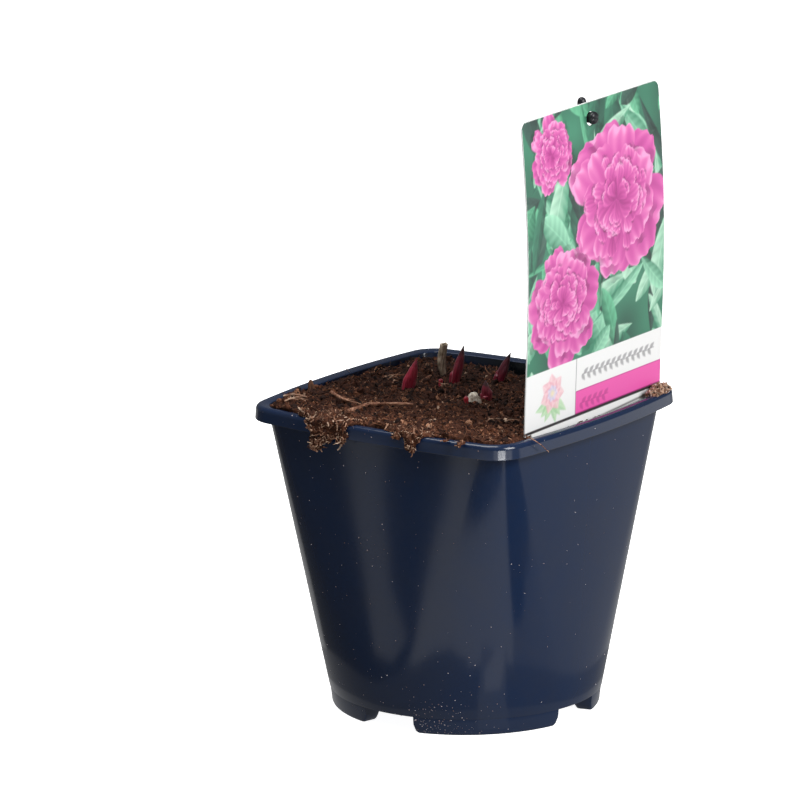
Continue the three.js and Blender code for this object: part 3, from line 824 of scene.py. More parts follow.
@dataclass(frozen=True)
class Scatter:
    """Bits that Geometry Nodes strew over a surface, more where its attribute "share" is high.

    Sizes are in millimetres and the tilt away from the surface's normal is in degrees. Squash, bend and
    thickness are shares of a bit's size. Most bits are small: the size follows a random number to the power
    size_skew.
    """

    name: str
    shape: BitShape
    per_square_cm: float
    smallest: float
    largest: float
    seed: int
    squash: float = 0.7
    bend: float = 0.3
    thickness: float = 0.03
    tilt: Pair = (60, 100)
    size_skew: float = 2.4
    size_seed: float = 17.0
    turn_seed: float = 41.0

    def one_bit(self, tree: Tree) -> Socket:
        """Makes one bit of size 1.

        Args:
            tree: the node tree.

        Returns:
            The output with its mesh.
        """
        if self.shape is BitShape.FIBRE:
            line = add_node(tree, "GeometryNodeCurveQuadraticBezier",
                            {"Resolution": 6, "Start": (0, 0, -0.1), "Middle": (0.22, 0.05, 0.45),
                             "End": (0, 0.1, 1)})
            ring = add_node(tree, "GeometryNodeCurvePrimitiveCircle",
                            {"Resolution": 3, "Radius": self.thickness})
            tube = add_node(tree, "GeometryNodeCurveToMesh", {"Fill Caps": True},
                            {"Curve": line.outputs[0], "Profile Curve": ring.outputs[0]})
            return tube.outputs[0]
        fine = 2 if self.shape is BitShape.CRUMB else 1
        return add_node(tree, "GeometryNodeMeshIcoSphere",
                        {"Radius": 0.5, "Subdivisions": fine}).outputs["Mesh"]

    def tree(self, material: Material) -> Tree:
        """Builds the node tree.

        Args:
            material: the bits' finish.

        Returns:
            The tree, with its sizes as named inputs.
        """
        tree = bpy.data.node_groups.new(self.name, "GeometryNodeTree")
        sockets = tree.interface
        sockets.new_socket("Geometry", in_out="OUTPUT", socket_type="NodeSocketGeometry")
        sockets.new_socket("Geometry", in_out="INPUT", socket_type="NodeSocketGeometry")
        for name in ("Density", "Smallest", "Largest"):
            sockets.new_socket(name, in_out="INPUT", socket_type="NodeSocketFloat")
        sockets.new_socket("Seed", in_out="INPUT", socket_type="NodeSocketInt")
        given = add_node(tree, "NodeGroupInput").outputs
        share = add_node(tree, "GeometryNodeInputNamedAttribute", {"data_type": "FLOAT", "Name": "share"})
        density = add_node(tree, "ShaderNodeMath", {"operation": "MULTIPLY"},
                           {0: given["Density"], 1: share.outputs["Attribute"]})
        spots = add_node(tree, "GeometryNodeDistributePointsOnFaces", {"distribute_method": "RANDOM"},
                         {"Mesh": given["Geometry"], "Density": density.outputs[0], "Seed": given["Seed"]})
        luck = add_node(tree, "FunctionNodeRandomValue", {"data_type": "FLOAT"}, {"Seed": given["Seed"]})
        tinted = add_node(tree, "GeometryNodeStoreNamedAttribute",
                          {"data_type": "FLOAT", "domain": "POINT", "Name": "tint"},
                          {"Geometry": spots.outputs["Points"], "Value": luck.outputs[1]})
        other_seed = add_node(tree, "ShaderNodeMath", {"operation": "ADD", 1: self.size_seed},
                              {0: given["Seed"]})
        size_luck = add_node(tree, "FunctionNodeRandomValue", {"data_type": "FLOAT"},
                             {"Seed": other_seed.outputs[0]})
        skewed = add_node(tree, "ShaderNodeMath", {"operation": "POWER", 1: self.size_skew},
                          {0: size_luck.outputs[1]})
        size = add_node(tree, "ShaderNodeMapRange",
                        links={"Value": skewed.outputs[0], "To Min": given["Smallest"],
                               "To Max": given["Largest"]})
        flat = (1, 1, 1) if self.shape is BitShape.FIBRE else (1, 1, self.squash)
        scale = add_node(tree, "ShaderNodeVectorMath", {"operation": "SCALE", 0: flat},
                         {"Scale": size.outputs["Result"]})
        third_seed = add_node(tree, "ShaderNodeMath", {"operation": "ADD", 1: self.turn_seed},
                              {0: given["Seed"]})
        low, high = (math.radians(angle) for angle in self.tilt)
        turn = add_node(tree, "FunctionNodeRandomValue",
                        {"data_type": "FLOAT_VECTOR", 0: (low, 0, 0), 1: (high, 0.5, 2 * math.pi)},
                        {"Seed": third_seed.outputs[0]})
        spin = add_node(tree, "FunctionNodeEulerToRotation", links={0: turn.outputs[0]})
        rotation = add_node(tree, "FunctionNodeRotateRotation", {"rotation_space": "LOCAL"},
                            {0: spots.outputs["Rotation"], 1: spin.outputs[0]})
        placed = add_node(tree, "GeometryNodeInstanceOnPoints",
                          links={"Points": tinted.outputs[0], "Instance": self.one_bit(tree),
                                 "Rotation": rotation.outputs[0], "Scale": scale.outputs[0]})
        loose = add_node(tree, "GeometryNodeRealizeInstances", links={0: placed.outputs[0]})
        middle = 0.5 * (self.smallest + self.largest)
        where = add_node(tree, "GeometryNodeInputPosition")
        noise = add_node(tree, "ShaderNodeTexNoise", {"Scale": 1 / (0.6 * middle * MM), "Detail": 1},
                         {"Vector": where.outputs[0]})
        centred = add_node(tree, "ShaderNodeVectorMath", {"operation": "SUBTRACT", 1: (0.5, 0.5, 0.5)},
                           {0: noise.outputs["Color"]})
        push = add_node(tree, "ShaderNodeVectorMath",
                        {"operation": "SCALE", "Scale": 2 * self.bend * middle * MM},
                        {0: centred.outputs[0]})
        bent = add_node(tree, "GeometryNodeSetPosition",
                        links={"Geometry": loose.outputs[0], "Offset": push.outputs[0]})
        real = add_node(tree, "GeometryNodeRealizeInstances", links={0: bent.outputs[0]})
        coated = add_node(tree, "GeometryNodeSetMaterial", {"Material": material},
                          {"Geometry": real.outputs[0]})
        add_node(tree, "NodeGroupOutput", links={0: coated.outputs[0]})
        return tree

    def strew(self, surface: Piece, material: Material) -> Piece:
        """Strews the bits over a surface.

        Args:
            surface: mesh with the point attribute "share" from 0 to 1.
            material: the bits' finish.

        Returns:
            The bits as one plain mesh.
        """
        bits = bpy.data.objects.new(self.name, surface.data.copy())
        bpy.context.scene.collection.objects.link(bits)
        modifier = bits.modifiers.new("strew", "NODES")
        tree = self.tree(material)
        modifier.node_group = tree
        values = {"Density": self.per_square_cm * PER_SQUARE_CM, "Smallest": self.smallest * MM,
                  "Largest": self.largest * MM, "Seed": self.seed}
        for item in tree.interface.items_tree:
            if item.in_out == "INPUT" and item.name in values:
                modifier[item.identifier] = values[item.name]
        return applied(bits)


# The pot


@dataclass
class NurseryPot:
    """Square-to-round pot: a thin shell with a turned-over lip, a floor with drain holes, and four feet.

    Side_sagitta, side_reach and corner_radius are shares of the half side. Foot_outer and foot_inner are a
    foot's radii at its sole and where it meets the floor. Dish is how far the lip's inner edge lies under the
    outer one.
    """

    height: float = 160
    rim_half: float = 85
    wall: float = 1.2
    wall_top_half: float = 79.3
    wall_top_z: float = 152.5
    side_sagitta: float = 0.06
    side_reach: float = 0.85
    corner_radius: float = 0.2
    lip_skirt: float = 7.5
    lip_flare: float = 0.3
    lip_edge: float = 2.5
    inner_edge: float = 0.6
    dish: float = 0.75
    floor_radius: float = 70
    floor_z: float = 8.5
    floor_plate: float = 1.5
    drain_radius: float = 5.5
    drain_circle: float = 48
    foot_outer: Pair = (68.7, 69.7)
    foot_inner: Pair = (61, 58)
    foot_middles: tuple[float, ...] = (45, 135, 225, 315)
    foot_half_span: float = 32.5
    foot_end: float = 3.5
    side_steps: int = 16
    corner_steps: int = 30
    wall_steps: int = 22
    # X over which the painted shade on the inside wall deepens to its darkest.
    inner_shade_edge: Pair = (-62, -25)

    def __post_init__(self) -> None:
        """Works out the arcs of the outline at half side 1."""
        self.side_radius = (self.side_reach ** 2 + self.side_sagitta ** 2) / (2 * self.side_sagitta)
        a = self.side_radius - 1
        b = self.side_radius - self.corner_radius
        self.corner_centre = (-a + math.sqrt(2 * b * b - a * a)) / 2
        self.side_turn = math.atan2(self.corner_centre, self.corner_centre + self.side_radius - 1)
        turns = []
        for quarter in range(4):
            start = quarter * math.pi / 2
            turns += list(start + np.linspace(-self.side_turn, self.side_turn, self.side_steps,
                                              endpoint=False))
            turns += list(start + np.linspace(self.side_turn, math.pi / 2 - self.side_turn, self.corner_steps,
                                              endpoint=False))
        self.turns = np.array(turns)

    def square_ring(self, half: float, inset: float, z: float) -> np.ndarray:
        """The rim's outline.

        Args:
            half: half side.
            inset: distance that it is moved in by.
            z: height.

        Returns:
            Rows of x, y and z.
        """
        quarter = np.round(self.turns / (math.pi / 2))
        local = self.turns - quarter * math.pi / 2
        flat = np.abs(local) <= self.side_turn + 1e-9
        centre_x = np.where(flat, (1 - self.side_radius) * half, self.corner_centre * half)
        centre_y = np.where(flat, 0, np.sign(local) * self.corner_centre * half)
        radius = np.where(flat, self.side_radius, self.corner_radius) * half - inset
        x = centre_x + radius * np.cos(local)
        y = centre_y + radius * np.sin(local)
        c, s = np.cos(quarter * math.pi / 2), np.sin(quarter * math.pi / 2)
        return np.stack([x * c - y * s, x * s + y * c, np.full_like(x, z)], axis=1)

    def wall_ring(self, z: float, inset: float) -> np.ndarray:
        """The wall's outline.

        Args:
            z: height.
            inset: distance that it is moved in by.

        Returns:
            Rows of x, y and z.
        """
        share = (z - self.floor_z) / (self.wall_top_z - self.floor_z)
        low = np.stack([np.cos(self.turns), np.sin(self.turns), np.zeros_like(self.turns)], axis=1)
        low *= self.floor_radius - inset
        ring = low * (1 - share) + self.square_ring(self.wall_top_half, inset, 0) * share
        ring[:, 2] = z
        return ring

    def shell(self) -> Shell:
        """The wall with its lip, as a closed band: up the outside, over the lip and down the inside.

        Returns:
            Points and faces, with the inner wall's four rings last.
        """
        under_land = self.height - self.wall
        skirt_z = self.height - self.lip_skirt
        wide = self.rim_half + self.lip_flare
        rings = [self.wall_ring(self.floor_z, 0.6), self.wall_ring(self.floor_z + 0.15, 0.18)]
        rings += [self.wall_ring(z, 0) for z in np.linspace(self.floor_z + 0.6, under_land, self.wall_steps)]
        rings.append(self.square_ring(self.rim_half, self.wall, under_land))
        for inset, up in ((self.wall, 0.2), (self.wall - 0.25, 0), (0.25, 0), (0, 0.3)):
            rings.append(self.square_ring(wide, inset, skirt_z + up))
        for turn in np.radians((0, 12, 24, 36, 48, 60, 72, 90)):
            inset = self.lip_edge * (1 - math.cos(turn))
            rings.append(self.square_ring(self.rim_half, inset,
                                          self.height - self.lip_edge * (1 - math.sin(turn))))
        for turn in np.radians((0, 30, 60, 90)):
            inset = self.wall - self.inner_edge * (1 - math.sin(turn))
            rings.append(self.wall_ring(self.height - self.dish - self.inner_edge * (1 - math.cos(turn)),
                                        inset))
        rings += [self.wall_ring(z, self.wall) for z in (120, 60, self.floor_z + self.floor_plate)]
        return loft(rings, closed=True)

    def foot(self, middle: float) -> Shell:
        """One foot, a sector of a ring.

        Args:
            middle: direction of its middle in degrees.

        Returns:
            Points and faces.
        """
        half_span = math.radians(self.foot_half_span)
        end_turn = self.foot_end / self.foot_outer[0]
        low, high = self.foot_outer
        rings = []
        inner_low, inner_high = self.foot_inner
        slope = (high - low) / self.floor_z
        fine = np.linspace(0, 1, 9) ** 0.6 * end_turn
        turns = np.concatenate([-half_span + fine,
                                np.linspace(-half_span + end_turn, half_span - end_turn, 30)[1:-1],
                                (half_span - fine)[::-1]])
        for turn in turns:
            past = max(0, abs(turn) - (half_span - end_turn)) / end_turn
            lift = self.foot_end * (1 - math.sqrt(max(0, 1 - past * past)))
            section = [(high, self.floor_z + 0.8), (high, self.floor_z)]
            section += [(low + slope * (lift + 1.1), lift + 1.1), (low - 0.1, lift + 0.45)]
            section += [(low - 0.45, lift + 0.12), (low - 1.0, lift), (inner_low + 0.6, lift)]
            section += [(inner_low - 0.1, lift + 0.25), (inner_low - 1.2, lift + 1.6)]
            section += [(inner_high, self.floor_z), (inner_high, self.floor_z + 0.8)]
            along = math.radians(middle) + turn
            rings.append(np.array([(r * math.cos(along), r * math.sin(along), z) for r, z in section]))
        return loft(rings)

    def disc(self, radius: float, spot: Pair, low: float, high: float, sides: int) -> Shell:
        """A short upright cylinder.

        Args:
            radius: its radius.
            spot: x and y of its middle.
            low: height of its bottom.
            high: height of its top.
            sides: points round it.

        Returns:
            Points and faces.
        """
        turns = np.arange(sides) * 2 * math.pi / sides
        ring = np.stack([spot[0] + radius * np.cos(turns), spot[1] + radius * np.sin(turns),
                         np.zeros(sides)], axis=1)
        return loft([ring + (0, 0, low), ring + (0, 0, high)])

    def floor(self) -> Shell:
        """The floor plate with its five drain holes.

        Returns:
            Points and faces.
        """
        top = self.floor_z + self.floor_plate + 0.05
        disc = self.disc(self.floor_radius - 0.9, (0, 0), self.floor_z + 0.05, top, 120)
        plate = mesh_piece("pot_floor", *disc)
        spots = [(0.0, 0.0)]
        spots += [(self.drain_circle * math.cos(turn), self.drain_circle * math.sin(turn))
                  for turn in (0, math.pi / 2, math.pi, 1.5 * math.pi)]
        shells = [self.disc(self.drain_radius, spot, self.floor_z - 2, top + 2, 40) for spot in spots]
        cutter = mesh_piece("drain_cutter", *joined("drain holes", shells))
        cut = plate.modifiers.new("drains", "BOOLEAN")
        cut.operation = "DIFFERENCE"
        cut.object = cutter
        applied(plate)
        points = points_of(plate)
        faces = [list(face.vertices) for face in plate.data.polygons]
        for used in (cutter, plate):
            bpy.data.objects.remove(used)
        return points, faces

    def dust_share(self, points: np.ndarray) -> np.ndarray:
        """How dusty the outside is: most of all on the near foot and low on the near left side.

        Args:
            points: rows of x, y and z.

        Returns:
            A share from 0 to 1 for each point.
        """
        x, y, z = points.T
        outside = (np.hypot(x, y) > self.floor_radius - 1.5) & (z > 1)
        front = smoothstep(-y, 20, 60)
        low = np.exp(-((x - 26) ** 2) / (2 * 15 ** 2)) * smoothstep(34 - z, 0, 30) * front
        foot = np.exp(-((x - 22) ** 2) / (2 * 10 ** 2)) * smoothstep(11 - z, 0, 9) * front
        trail = 0.016 * front * smoothstep(-x, -70, 40)
        return outside * np.clip(0.005 + 0.26 * low + foot + trail, 0, 1)

    def build(self) -> None:
        """Builds and dresses the pot, and strews its dust."""
        plate = self.floor()
        feet = [self.foot(middle) for middle in self.foot_middles]
        shells = [self.shell(), plate, *feet]
        pot = mesh_piece("pot_shell", *joined("pot", shells), sharp=32)
        shell_end = len(shells[0][0])
        # Painted shade on the inside wall: darker all over, and darkest to the back right.
        inner_wall = slice(shell_end - 4 * len(self.turns), shell_end)
        inside = np.zeros(len(pot.data.vertices))
        inside[inner_wall] = 0.35 + 0.65 * smoothstep(points_of(pot)[inner_wall, 0], *self.inner_shade_edge)
        store(pot, "inside", inside)
        finished(pot, MouldedPotPlastic().make(), ("pot",))
        surface = mesh_piece("dust_surface", *joined("dust surface", [self.shell(), *feet]))
        store(surface, "share", self.dust_share(points_of(surface)))
        dust = Scatter("dust_on_pot", BitShape.GRIT, 64, 0.2, 0.85, 5, squash=0.45, bend=0.2, tilt=(-12, 12))
        specks = StrewnBits("dry soil dust", DUST_TINTS, shading_share=0).make()
        finished(dust.strew(surface, specks), specks, smooth=False)
        bpy.data.objects.remove(surface)


# The soil


@dataclass
class PottingSoil:
    """The bed of potting mix, what spills over the front rim, and the loose bits on it.

    Each lump is the middle and the half sizes of a knobbly ball.
    """

    level: float = 156
    half: float = 79.3
    pitch: float = 0.8
    edge_z: float = 157.0
    side_heights: tuple[float, ...] = (148, 80, 10.4)
    into_wall: float = 0.8
    lip_top: float = 160.12
    lip_face: float = 85.5
    spill_voxel: float = 0.75
    spill_crumbs: int = 70
    rim_lumps: tuple[tuple[Triple, Triple], ...] = (
        ((-25, -82.1, 159.6), (12.5, 4.9, 3.6)),
        ((-27, -83.6, 155.4), (8.6, 3.3, 6.4)),
        ((-31, -84.3, 149.4), (4.4, 2.5, 6.2)),
        ((-16.5, -84.1, 154.4), (3.8, 2.6, 4.8)),
        ((26, -81.8, 159.9), (8.4, 4.6, 2.6)),
        ((26.6, -83.8, 156), (3.8, 2.7, 5.2)),
        ((47, -83.6, 160.2), (1.6, 2.2, 0.8)),
        ((56.5, -83.8, 160.1), (2.2, 2.2, 0.8)),
    )
    corner_voxel: float = 0.5
    corner_lumps: tuple[tuple[Triple, Triple], ...] = (
        ((78.3, 57.0, 160.3), (3.2, 4.8, 1.9)),
        ((77.2, 65.0, 160.3), (3.4, 4.8, 2.0)),
        ((76.8, 60.5, 162.2), (2.0, 3.2, 1.8)),
        ((77.8, 66.5, 161.4), (2.0, 2.2, 1.5)),
    )

    def form(self, x: np.ndarray, y: np.ndarray) -> np.ndarray:
        """Height of the bed without its crumbs.

        Args:
            x: places along X.
            y: places along Y.

        Returns:
            Heights.
        """
        u, v = x / self.half, y / self.half
        rightward = smoothstep(u, -1.1, 0.9)
        heap = 2.6 * np.exp(-((x - 18) ** 2 + (y + 38) ** 2) / (2 * 26 ** 2))
        level = self.level - 1.2 * v - 4.4 * np.maximum(0, v) * rightward
        return level + 2.6 * np.minimum(0, v) ** 2 + 1.4 * np.minimum(0, u) ** 2 + heap

    def bank(self, x: np.ndarray) -> np.ndarray:
        """How much soil lies on the front rim.

        Args:
            x: places along X.

        Returns:
            From 0 for none to 1 for the most.
        """
        left = smoothstep(x, -48, -38) * (1 - smoothstep(x, -16, -8))
        right = smoothstep(x, 6, 16) * (1 - 0.85 * smoothstep(x, 34, 44)) * (1 - smoothstep(x, 56, 66))
        return left + 0.55 * right

    def height(self, x: np.ndarray, y: np.ndarray) -> np.ndarray:
        """Height of the bed with its crumbs.

        Args:
            x: places along X.
            y: places along Y.

        Returns:
            Heights.
        """
        near_wall = smoothstep(np.maximum(np.abs(x), np.abs(y)), 66, 80)
        bank = 2.4 * self.bank(x) * (1 - smoothstep(y, -80, -62))
        flat = np.stack([x, y, np.zeros_like(x)], axis=1)
        swells = 1.5 * grain(flat, 15, 3) + 0.8 * grain(flat, 8, 4)
        lumps = 2.6 * crumbs(x, y, 8.5, 5) + 1.9 * crumbs(x + 3, y - 5, 4.2, 6) + 1.0 * crumbs(x, y + 2, 2.2,
                                                                                               7)
        threads = 0.35 * grain(flat * (1, 2.4, 1), 1.6, 8)
        before_card = 4.5 * smoothstep(x, 71, 75) * (1 - smoothstep(np.abs(y), 60, 72))
        relief = swells + (lumps - 2.6) * (1 - 0.35 * near_wall) + threads
        return self.form(x, y) + bank + relief - before_card

    def wall_reach(self, pot: NurseryPot, turn: np.ndarray, z: np.ndarray) -> np.ndarray:
        """How far out the soil meets the middle of the pot's wall.

        Args:
            pot: the pot that holds the soil.
            turn: directions from the middle in radians.
            z: heights.

        Returns:
            Distances from the middle.
        """
        low, high = pot.floor_z, pot.wall_top_z
        reaches = []
        for level in (low, high):
            ring = pot.wall_ring(level, self.into_wall)[:, :2]
            order = np.argsort(np.arctan2(ring[:, 1], ring[:, 0]))
            ring = ring[order]
            reaches.append(np.interp(turn, np.arctan2(ring[:, 1], ring[:, 0]), np.hypot(*ring.T),
                                     period=2 * math.pi))
        share = (z - low) / (high - low)
        return reaches[0] * (1 - share) + reaches[1] * share - 0.1 * (share > 0.1) * (share < 0.9)

    def bed(self, pot: NurseryPot) -> Piece:
        """The bed: a fine grid clipped to the pot's inside, with sides and a bottom.

        Args:
            pot: the pot that holds it.

        Returns:
            The object, with the attribute "share" at 1 on its top.
        """
        steps = int(2 * pot.wall_top_half / self.pitch) + 4
        line = (np.arange(steps + 1) - steps / 2) * self.pitch
        x, y = (grid.ravel() for grid in np.meshgrid(line, line))
        x = x + 0.25 * self.pitch * (2 * chance(x * 10, y * 10, 1, 9) - 1)
        y = y + 0.25 * self.pitch * (2 * chance(x * 10, y * 10, 2, 9) - 1)
        limit = self.wall_reach(pot, np.arctan2(y, x), np.full(len(x), self.edge_z))
        reach = np.hypot(x, y)
        outside = reach > limit
        pull = np.where(outside, limit / np.maximum(reach, 1), 1)
        x, y = x * pull, y * pull
        number = np.arange(len(x)).reshape(steps + 1, steps + 1)
        cells = np.stack([number[:-1, :-1], number[:-1, 1:], number[1:, 1:], number[1:, :-1]],
                         axis=-1).reshape(-1, 4)
        cells = cells[~outside[cells].all(axis=1)]
        used, packed = np.unique(cells, return_inverse=True)
        cells = packed.reshape(-1, 4)
        x, y = x[used], y[used]
        z = self.height(x, y)
        pull = np.minimum(1, self.wall_reach(pot, np.arctan2(y, x), z) / np.maximum(np.hypot(x, y), 1))
        x, y = x * pull, y * pull
        top = np.stack([x, y, z], axis=1)
        border = border_of(cells)
        follow = dict(border)
        loop = [border[0][0]]
        while follow[loop[-1]] != loop[0]:
            loop.append(follow[loop[-1]])
        rims = []
        turn = np.arctan2(top[loop, 1], top[loop, 0])
        for low in self.side_heights:
            flat = np.full(len(turn), float(low))
            reach = self.wall_reach(pot, turn, flat)
            rims.append(np.stack([reach * np.cos(turn), reach * np.sin(turn), flat], axis=1))
        points = np.concatenate([top, *rims])
        faces = cells.tolist()
        count = len(loop)
        rows = [np.array(loop)] + [len(top) + k * count + np.arange(count) for k in range(len(rims))]
        for upper, lower in zip(rows, rows[1:]):
            for k in range(count):
                n = (k + 1) % count
                faces.append([upper[n], upper[k], lower[k], lower[n]])
        faces.append(list(rows[-1][::-1]))
        piece = mesh_piece("soil_bed", points, faces, sharp=80)
        share = np.zeros(len(points))
        share[:len(top)] = 1
        share[:len(top)][(x > 66) & (np.abs(y) < 66)] = 0
        share[loop] = 0
        store(piece, "share", share)
        return piece

    def off_the_lip(self, points: np.ndarray) -> np.ndarray:
        """Moves points out of the pot's lip, up or forwards, whichever is nearer.

        Args:
            points: rows of x, y and z.

        Returns:
            The rows, moved.
        """
        x, y, z = points.T.copy()
        blocked = (y < -78.2) & (y > -self.lip_face) & (z < self.lip_top) & (z > 120)
        up = self.lip_top - z
        forwards = y + self.lip_face
        lift = blocked & (up <= forwards)
        z[lift] = self.lip_top + 0.02 * up[lift]
        push = blocked & ~lift
        y[push] = -self.lip_face - 0.02 * forwards[push]
        return np.stack([x, y, z], axis=1)

    def spill(self) -> Piece:
        """The matted lumps that lie on the front rim and hang over it, as one skin.

        Returns:
            The object, with the attribute "share" for what is strewn on it.
        """
        shells = [knob(middle, sizes, 41 + k) for k, (middle, sizes) in enumerate(self.rim_lumps)]
        for number in range(self.spill_crumbs):
            x = -78 + 152 * float(chance(number, 3, 5, 2))
            heap = float(self.bank(np.array([x]))[0])
            if heap < 0.1:
                continue
            y = -76 - (3.5 + 4.6 * min(1, heap)) * float(chance(number, 4, 5, 2))
            size = (1.6 + 2.6 * float(chance(number, 6, 5, 2))) * (0.6 + 0.5 * heap)
            z = 159.4 + 1.6 * heap * float(chance(number, 8, 5, 2))
            shells.append(knob((x, y, z), (size * 1.4, size, size * 0.8), 60 + number, detail=2))
        lumps = mesh_piece("soil_spill", *joined("soil_spill", shells), smooth=False)
        piece = melted(lumps, self.spill_voxel)
        points = points_of(piece)
        out = rows_of(piece, "normal")
        swell = 0.9 * grain(points, 3.2, 31) + 0.5 * grain(points, 1.5, 32)
        move_points(piece, self.off_the_lip(points + out * swell[:, None]))
        points = points_of(piece)
        over_the_edge = smoothstep(-points[:, 1], 80, 85) * (0.4 + 0.6 * smoothstep(156 - points[:, 2], 0, 7))
        store(piece, "share", (points[:, 1] < -74) * np.maximum(0.3, over_the_edge))
        return piece

    def corner(self) -> Piece:
        """The pinch of soil on the rim's far right corner.

        Returns:
            The object, with the attribute "share" for what is strewn on it.
        """
        shells = [knob(middle, sizes, 61 + k) for k, (middle, sizes) in enumerate(self.corner_lumps)]
        lumps = mesh_piece("soil_corner", *joined("soil_corner", shells), smooth=False)
        piece = melted(lumps, self.corner_voxel)
        points = points_of(piece)
        swell = 0.7 * grain(points, 2.4, 33) + 0.35 * grain(points, 1.1, 34)
        points = points + rows_of(piece, "normal") * swell[:, None]
        low = points[:, 2] < self.lip_top
        points[low, 2] = self.lip_top
        move_points(piece, points)
        store(piece, "share", np.ones(len(points)))
        return piece

    def build(self, pot: NurseryPot) -> None:
        """Builds the bed and the spill, and strews crumbs, fibres and grit over them.

        Args:
            pot: the pot that holds the soil.
        """
        mix = PottingMix().make()
        loose = StrewnBits("loose potting mix crumbs", CRUMB_TINTS).make()
        fibre = StrewnBits("coir fibres", FIBRE_TINTS, roughness=0.7).make()
        dry = StrewnBits("dried potting mix crumbs", DRY_TINTS, shading_share=0).make()
        flakes = StrewnBits("bark and straw flakes", FLAKE_TINTS, shading_share=0).make()
        grit = StrewnBits("perlite and wood grit", GRIT_TINTS, shading_share=0).make()
        bed, spill, corner = self.bed(pot), self.spill(), self.corner()
        strewn = (
            (bed, loose, Scatter("bed_crumbs", BitShape.CRUMB, 5, 1.2, 4.4, 11, bend=0.45)),
            (bed, loose, Scatter("bed_fine_crumbs", BitShape.GRIT, 24, 0.7, 2.0, 12, bend=0.4)),
            (bed, fibre, Scatter("bed_fibres", BitShape.FIBRE, 8, 1.6, 7, 13, bend=0.2, thickness=0.03)),
            (bed, flakes, Scatter("bed_flakes", BitShape.GRIT, 1.3, 0.8, 2.4, 14, squash=0.25, bend=0.35)),
            (spill, loose, Scatter("spill_crumbs", BitShape.CRUMB, 12, 0.9, 2.6, 15, bend=0.4)),
            (spill, dry, Scatter("spill_fibres", BitShape.FIBRE, 55, 1.0, 2.8, 16, bend=0.25, thickness=0.08,
                                 tilt=(35, 100))),
            (spill, flakes,
             Scatter("spill_straws", BitShape.FIBRE, 38, 1.2, 3.6, 22, bend=0.2, thickness=0.11,
                                    tilt=(30, 100))),
            (spill, flakes, Scatter("spill_flakes", BitShape.GRIT, 14, 0.9, 3.0, 17, squash=0.2, bend=0.5,
                                    tilt=(20, 100))),
            (corner, flakes, Scatter("corner_bits", BitShape.GRIT, 70, 0.6, 2.0, 18, squash=0.5)),
            (corner, flakes, Scatter("corner_grit", BitShape.GRIT, 110, 0.8, 3.2, 19, squash=0.45, bend=0.4)),
            (corner, grit, Scatter("corner_white", BitShape.GRIT, 50, 0.9, 2.6, 21, squash=0.6)),
            (corner, dry, Scatter("corner_fibres", BitShape.FIBRE, 45, 0.9, 2.4, 20, bend=0.2, thickness=0.07,
                                  tilt=(40, 100))),
        )
        for surface, material, scatter in strewn:
            finished(scatter.strew(surface, material), material, smooth=False)
        finished(bed, mix, ("soil",))
        finished(spill, mix, smooth=True)
        finished(corner, mix, ("soil_corner_crumbs",), smooth=True)


# The plant


@dataclass(frozen=True)
class Shoot:
    """One pointed shoot. Base is where it leaves the soil, and height and lean are its reach above that."""

    node: str
    base: Triple
    height: float
    lean: float
    wide: float
    turn: float
    finish: WaxyScale
    slot: str
    scales: tuple[tuple[float, float, float, float], ...] = ()


CRIMSON = WaxyScale("peony shoot skin crimson", "#c43c56", "#a01634", "#86142e", "#d0647a")
MAROON = WaxyScale("peony shoot skin maroon", "#9c2038", "#74122a", "#2a0810", "#a83c54")
DARK_MAROON = WaxyScale("peony shoot skin dark maroon", "#8c1836", "#560e22", "#1c060c", "#8c304a")
BUD_RED = WaxyScale("peony eye bud skin red", "#d84458", "#b8142c", "#8a1024", "#e8808c")

# Side in degrees, reach as a share of the shoot's, and width and distance out as shares of its width.
WRAPS = ((200.0, 0.66, 0.82, 0.22), (20.0, 0.45, 0.82, 0.22), (110.0, 0.3, 0.7, 0.26))


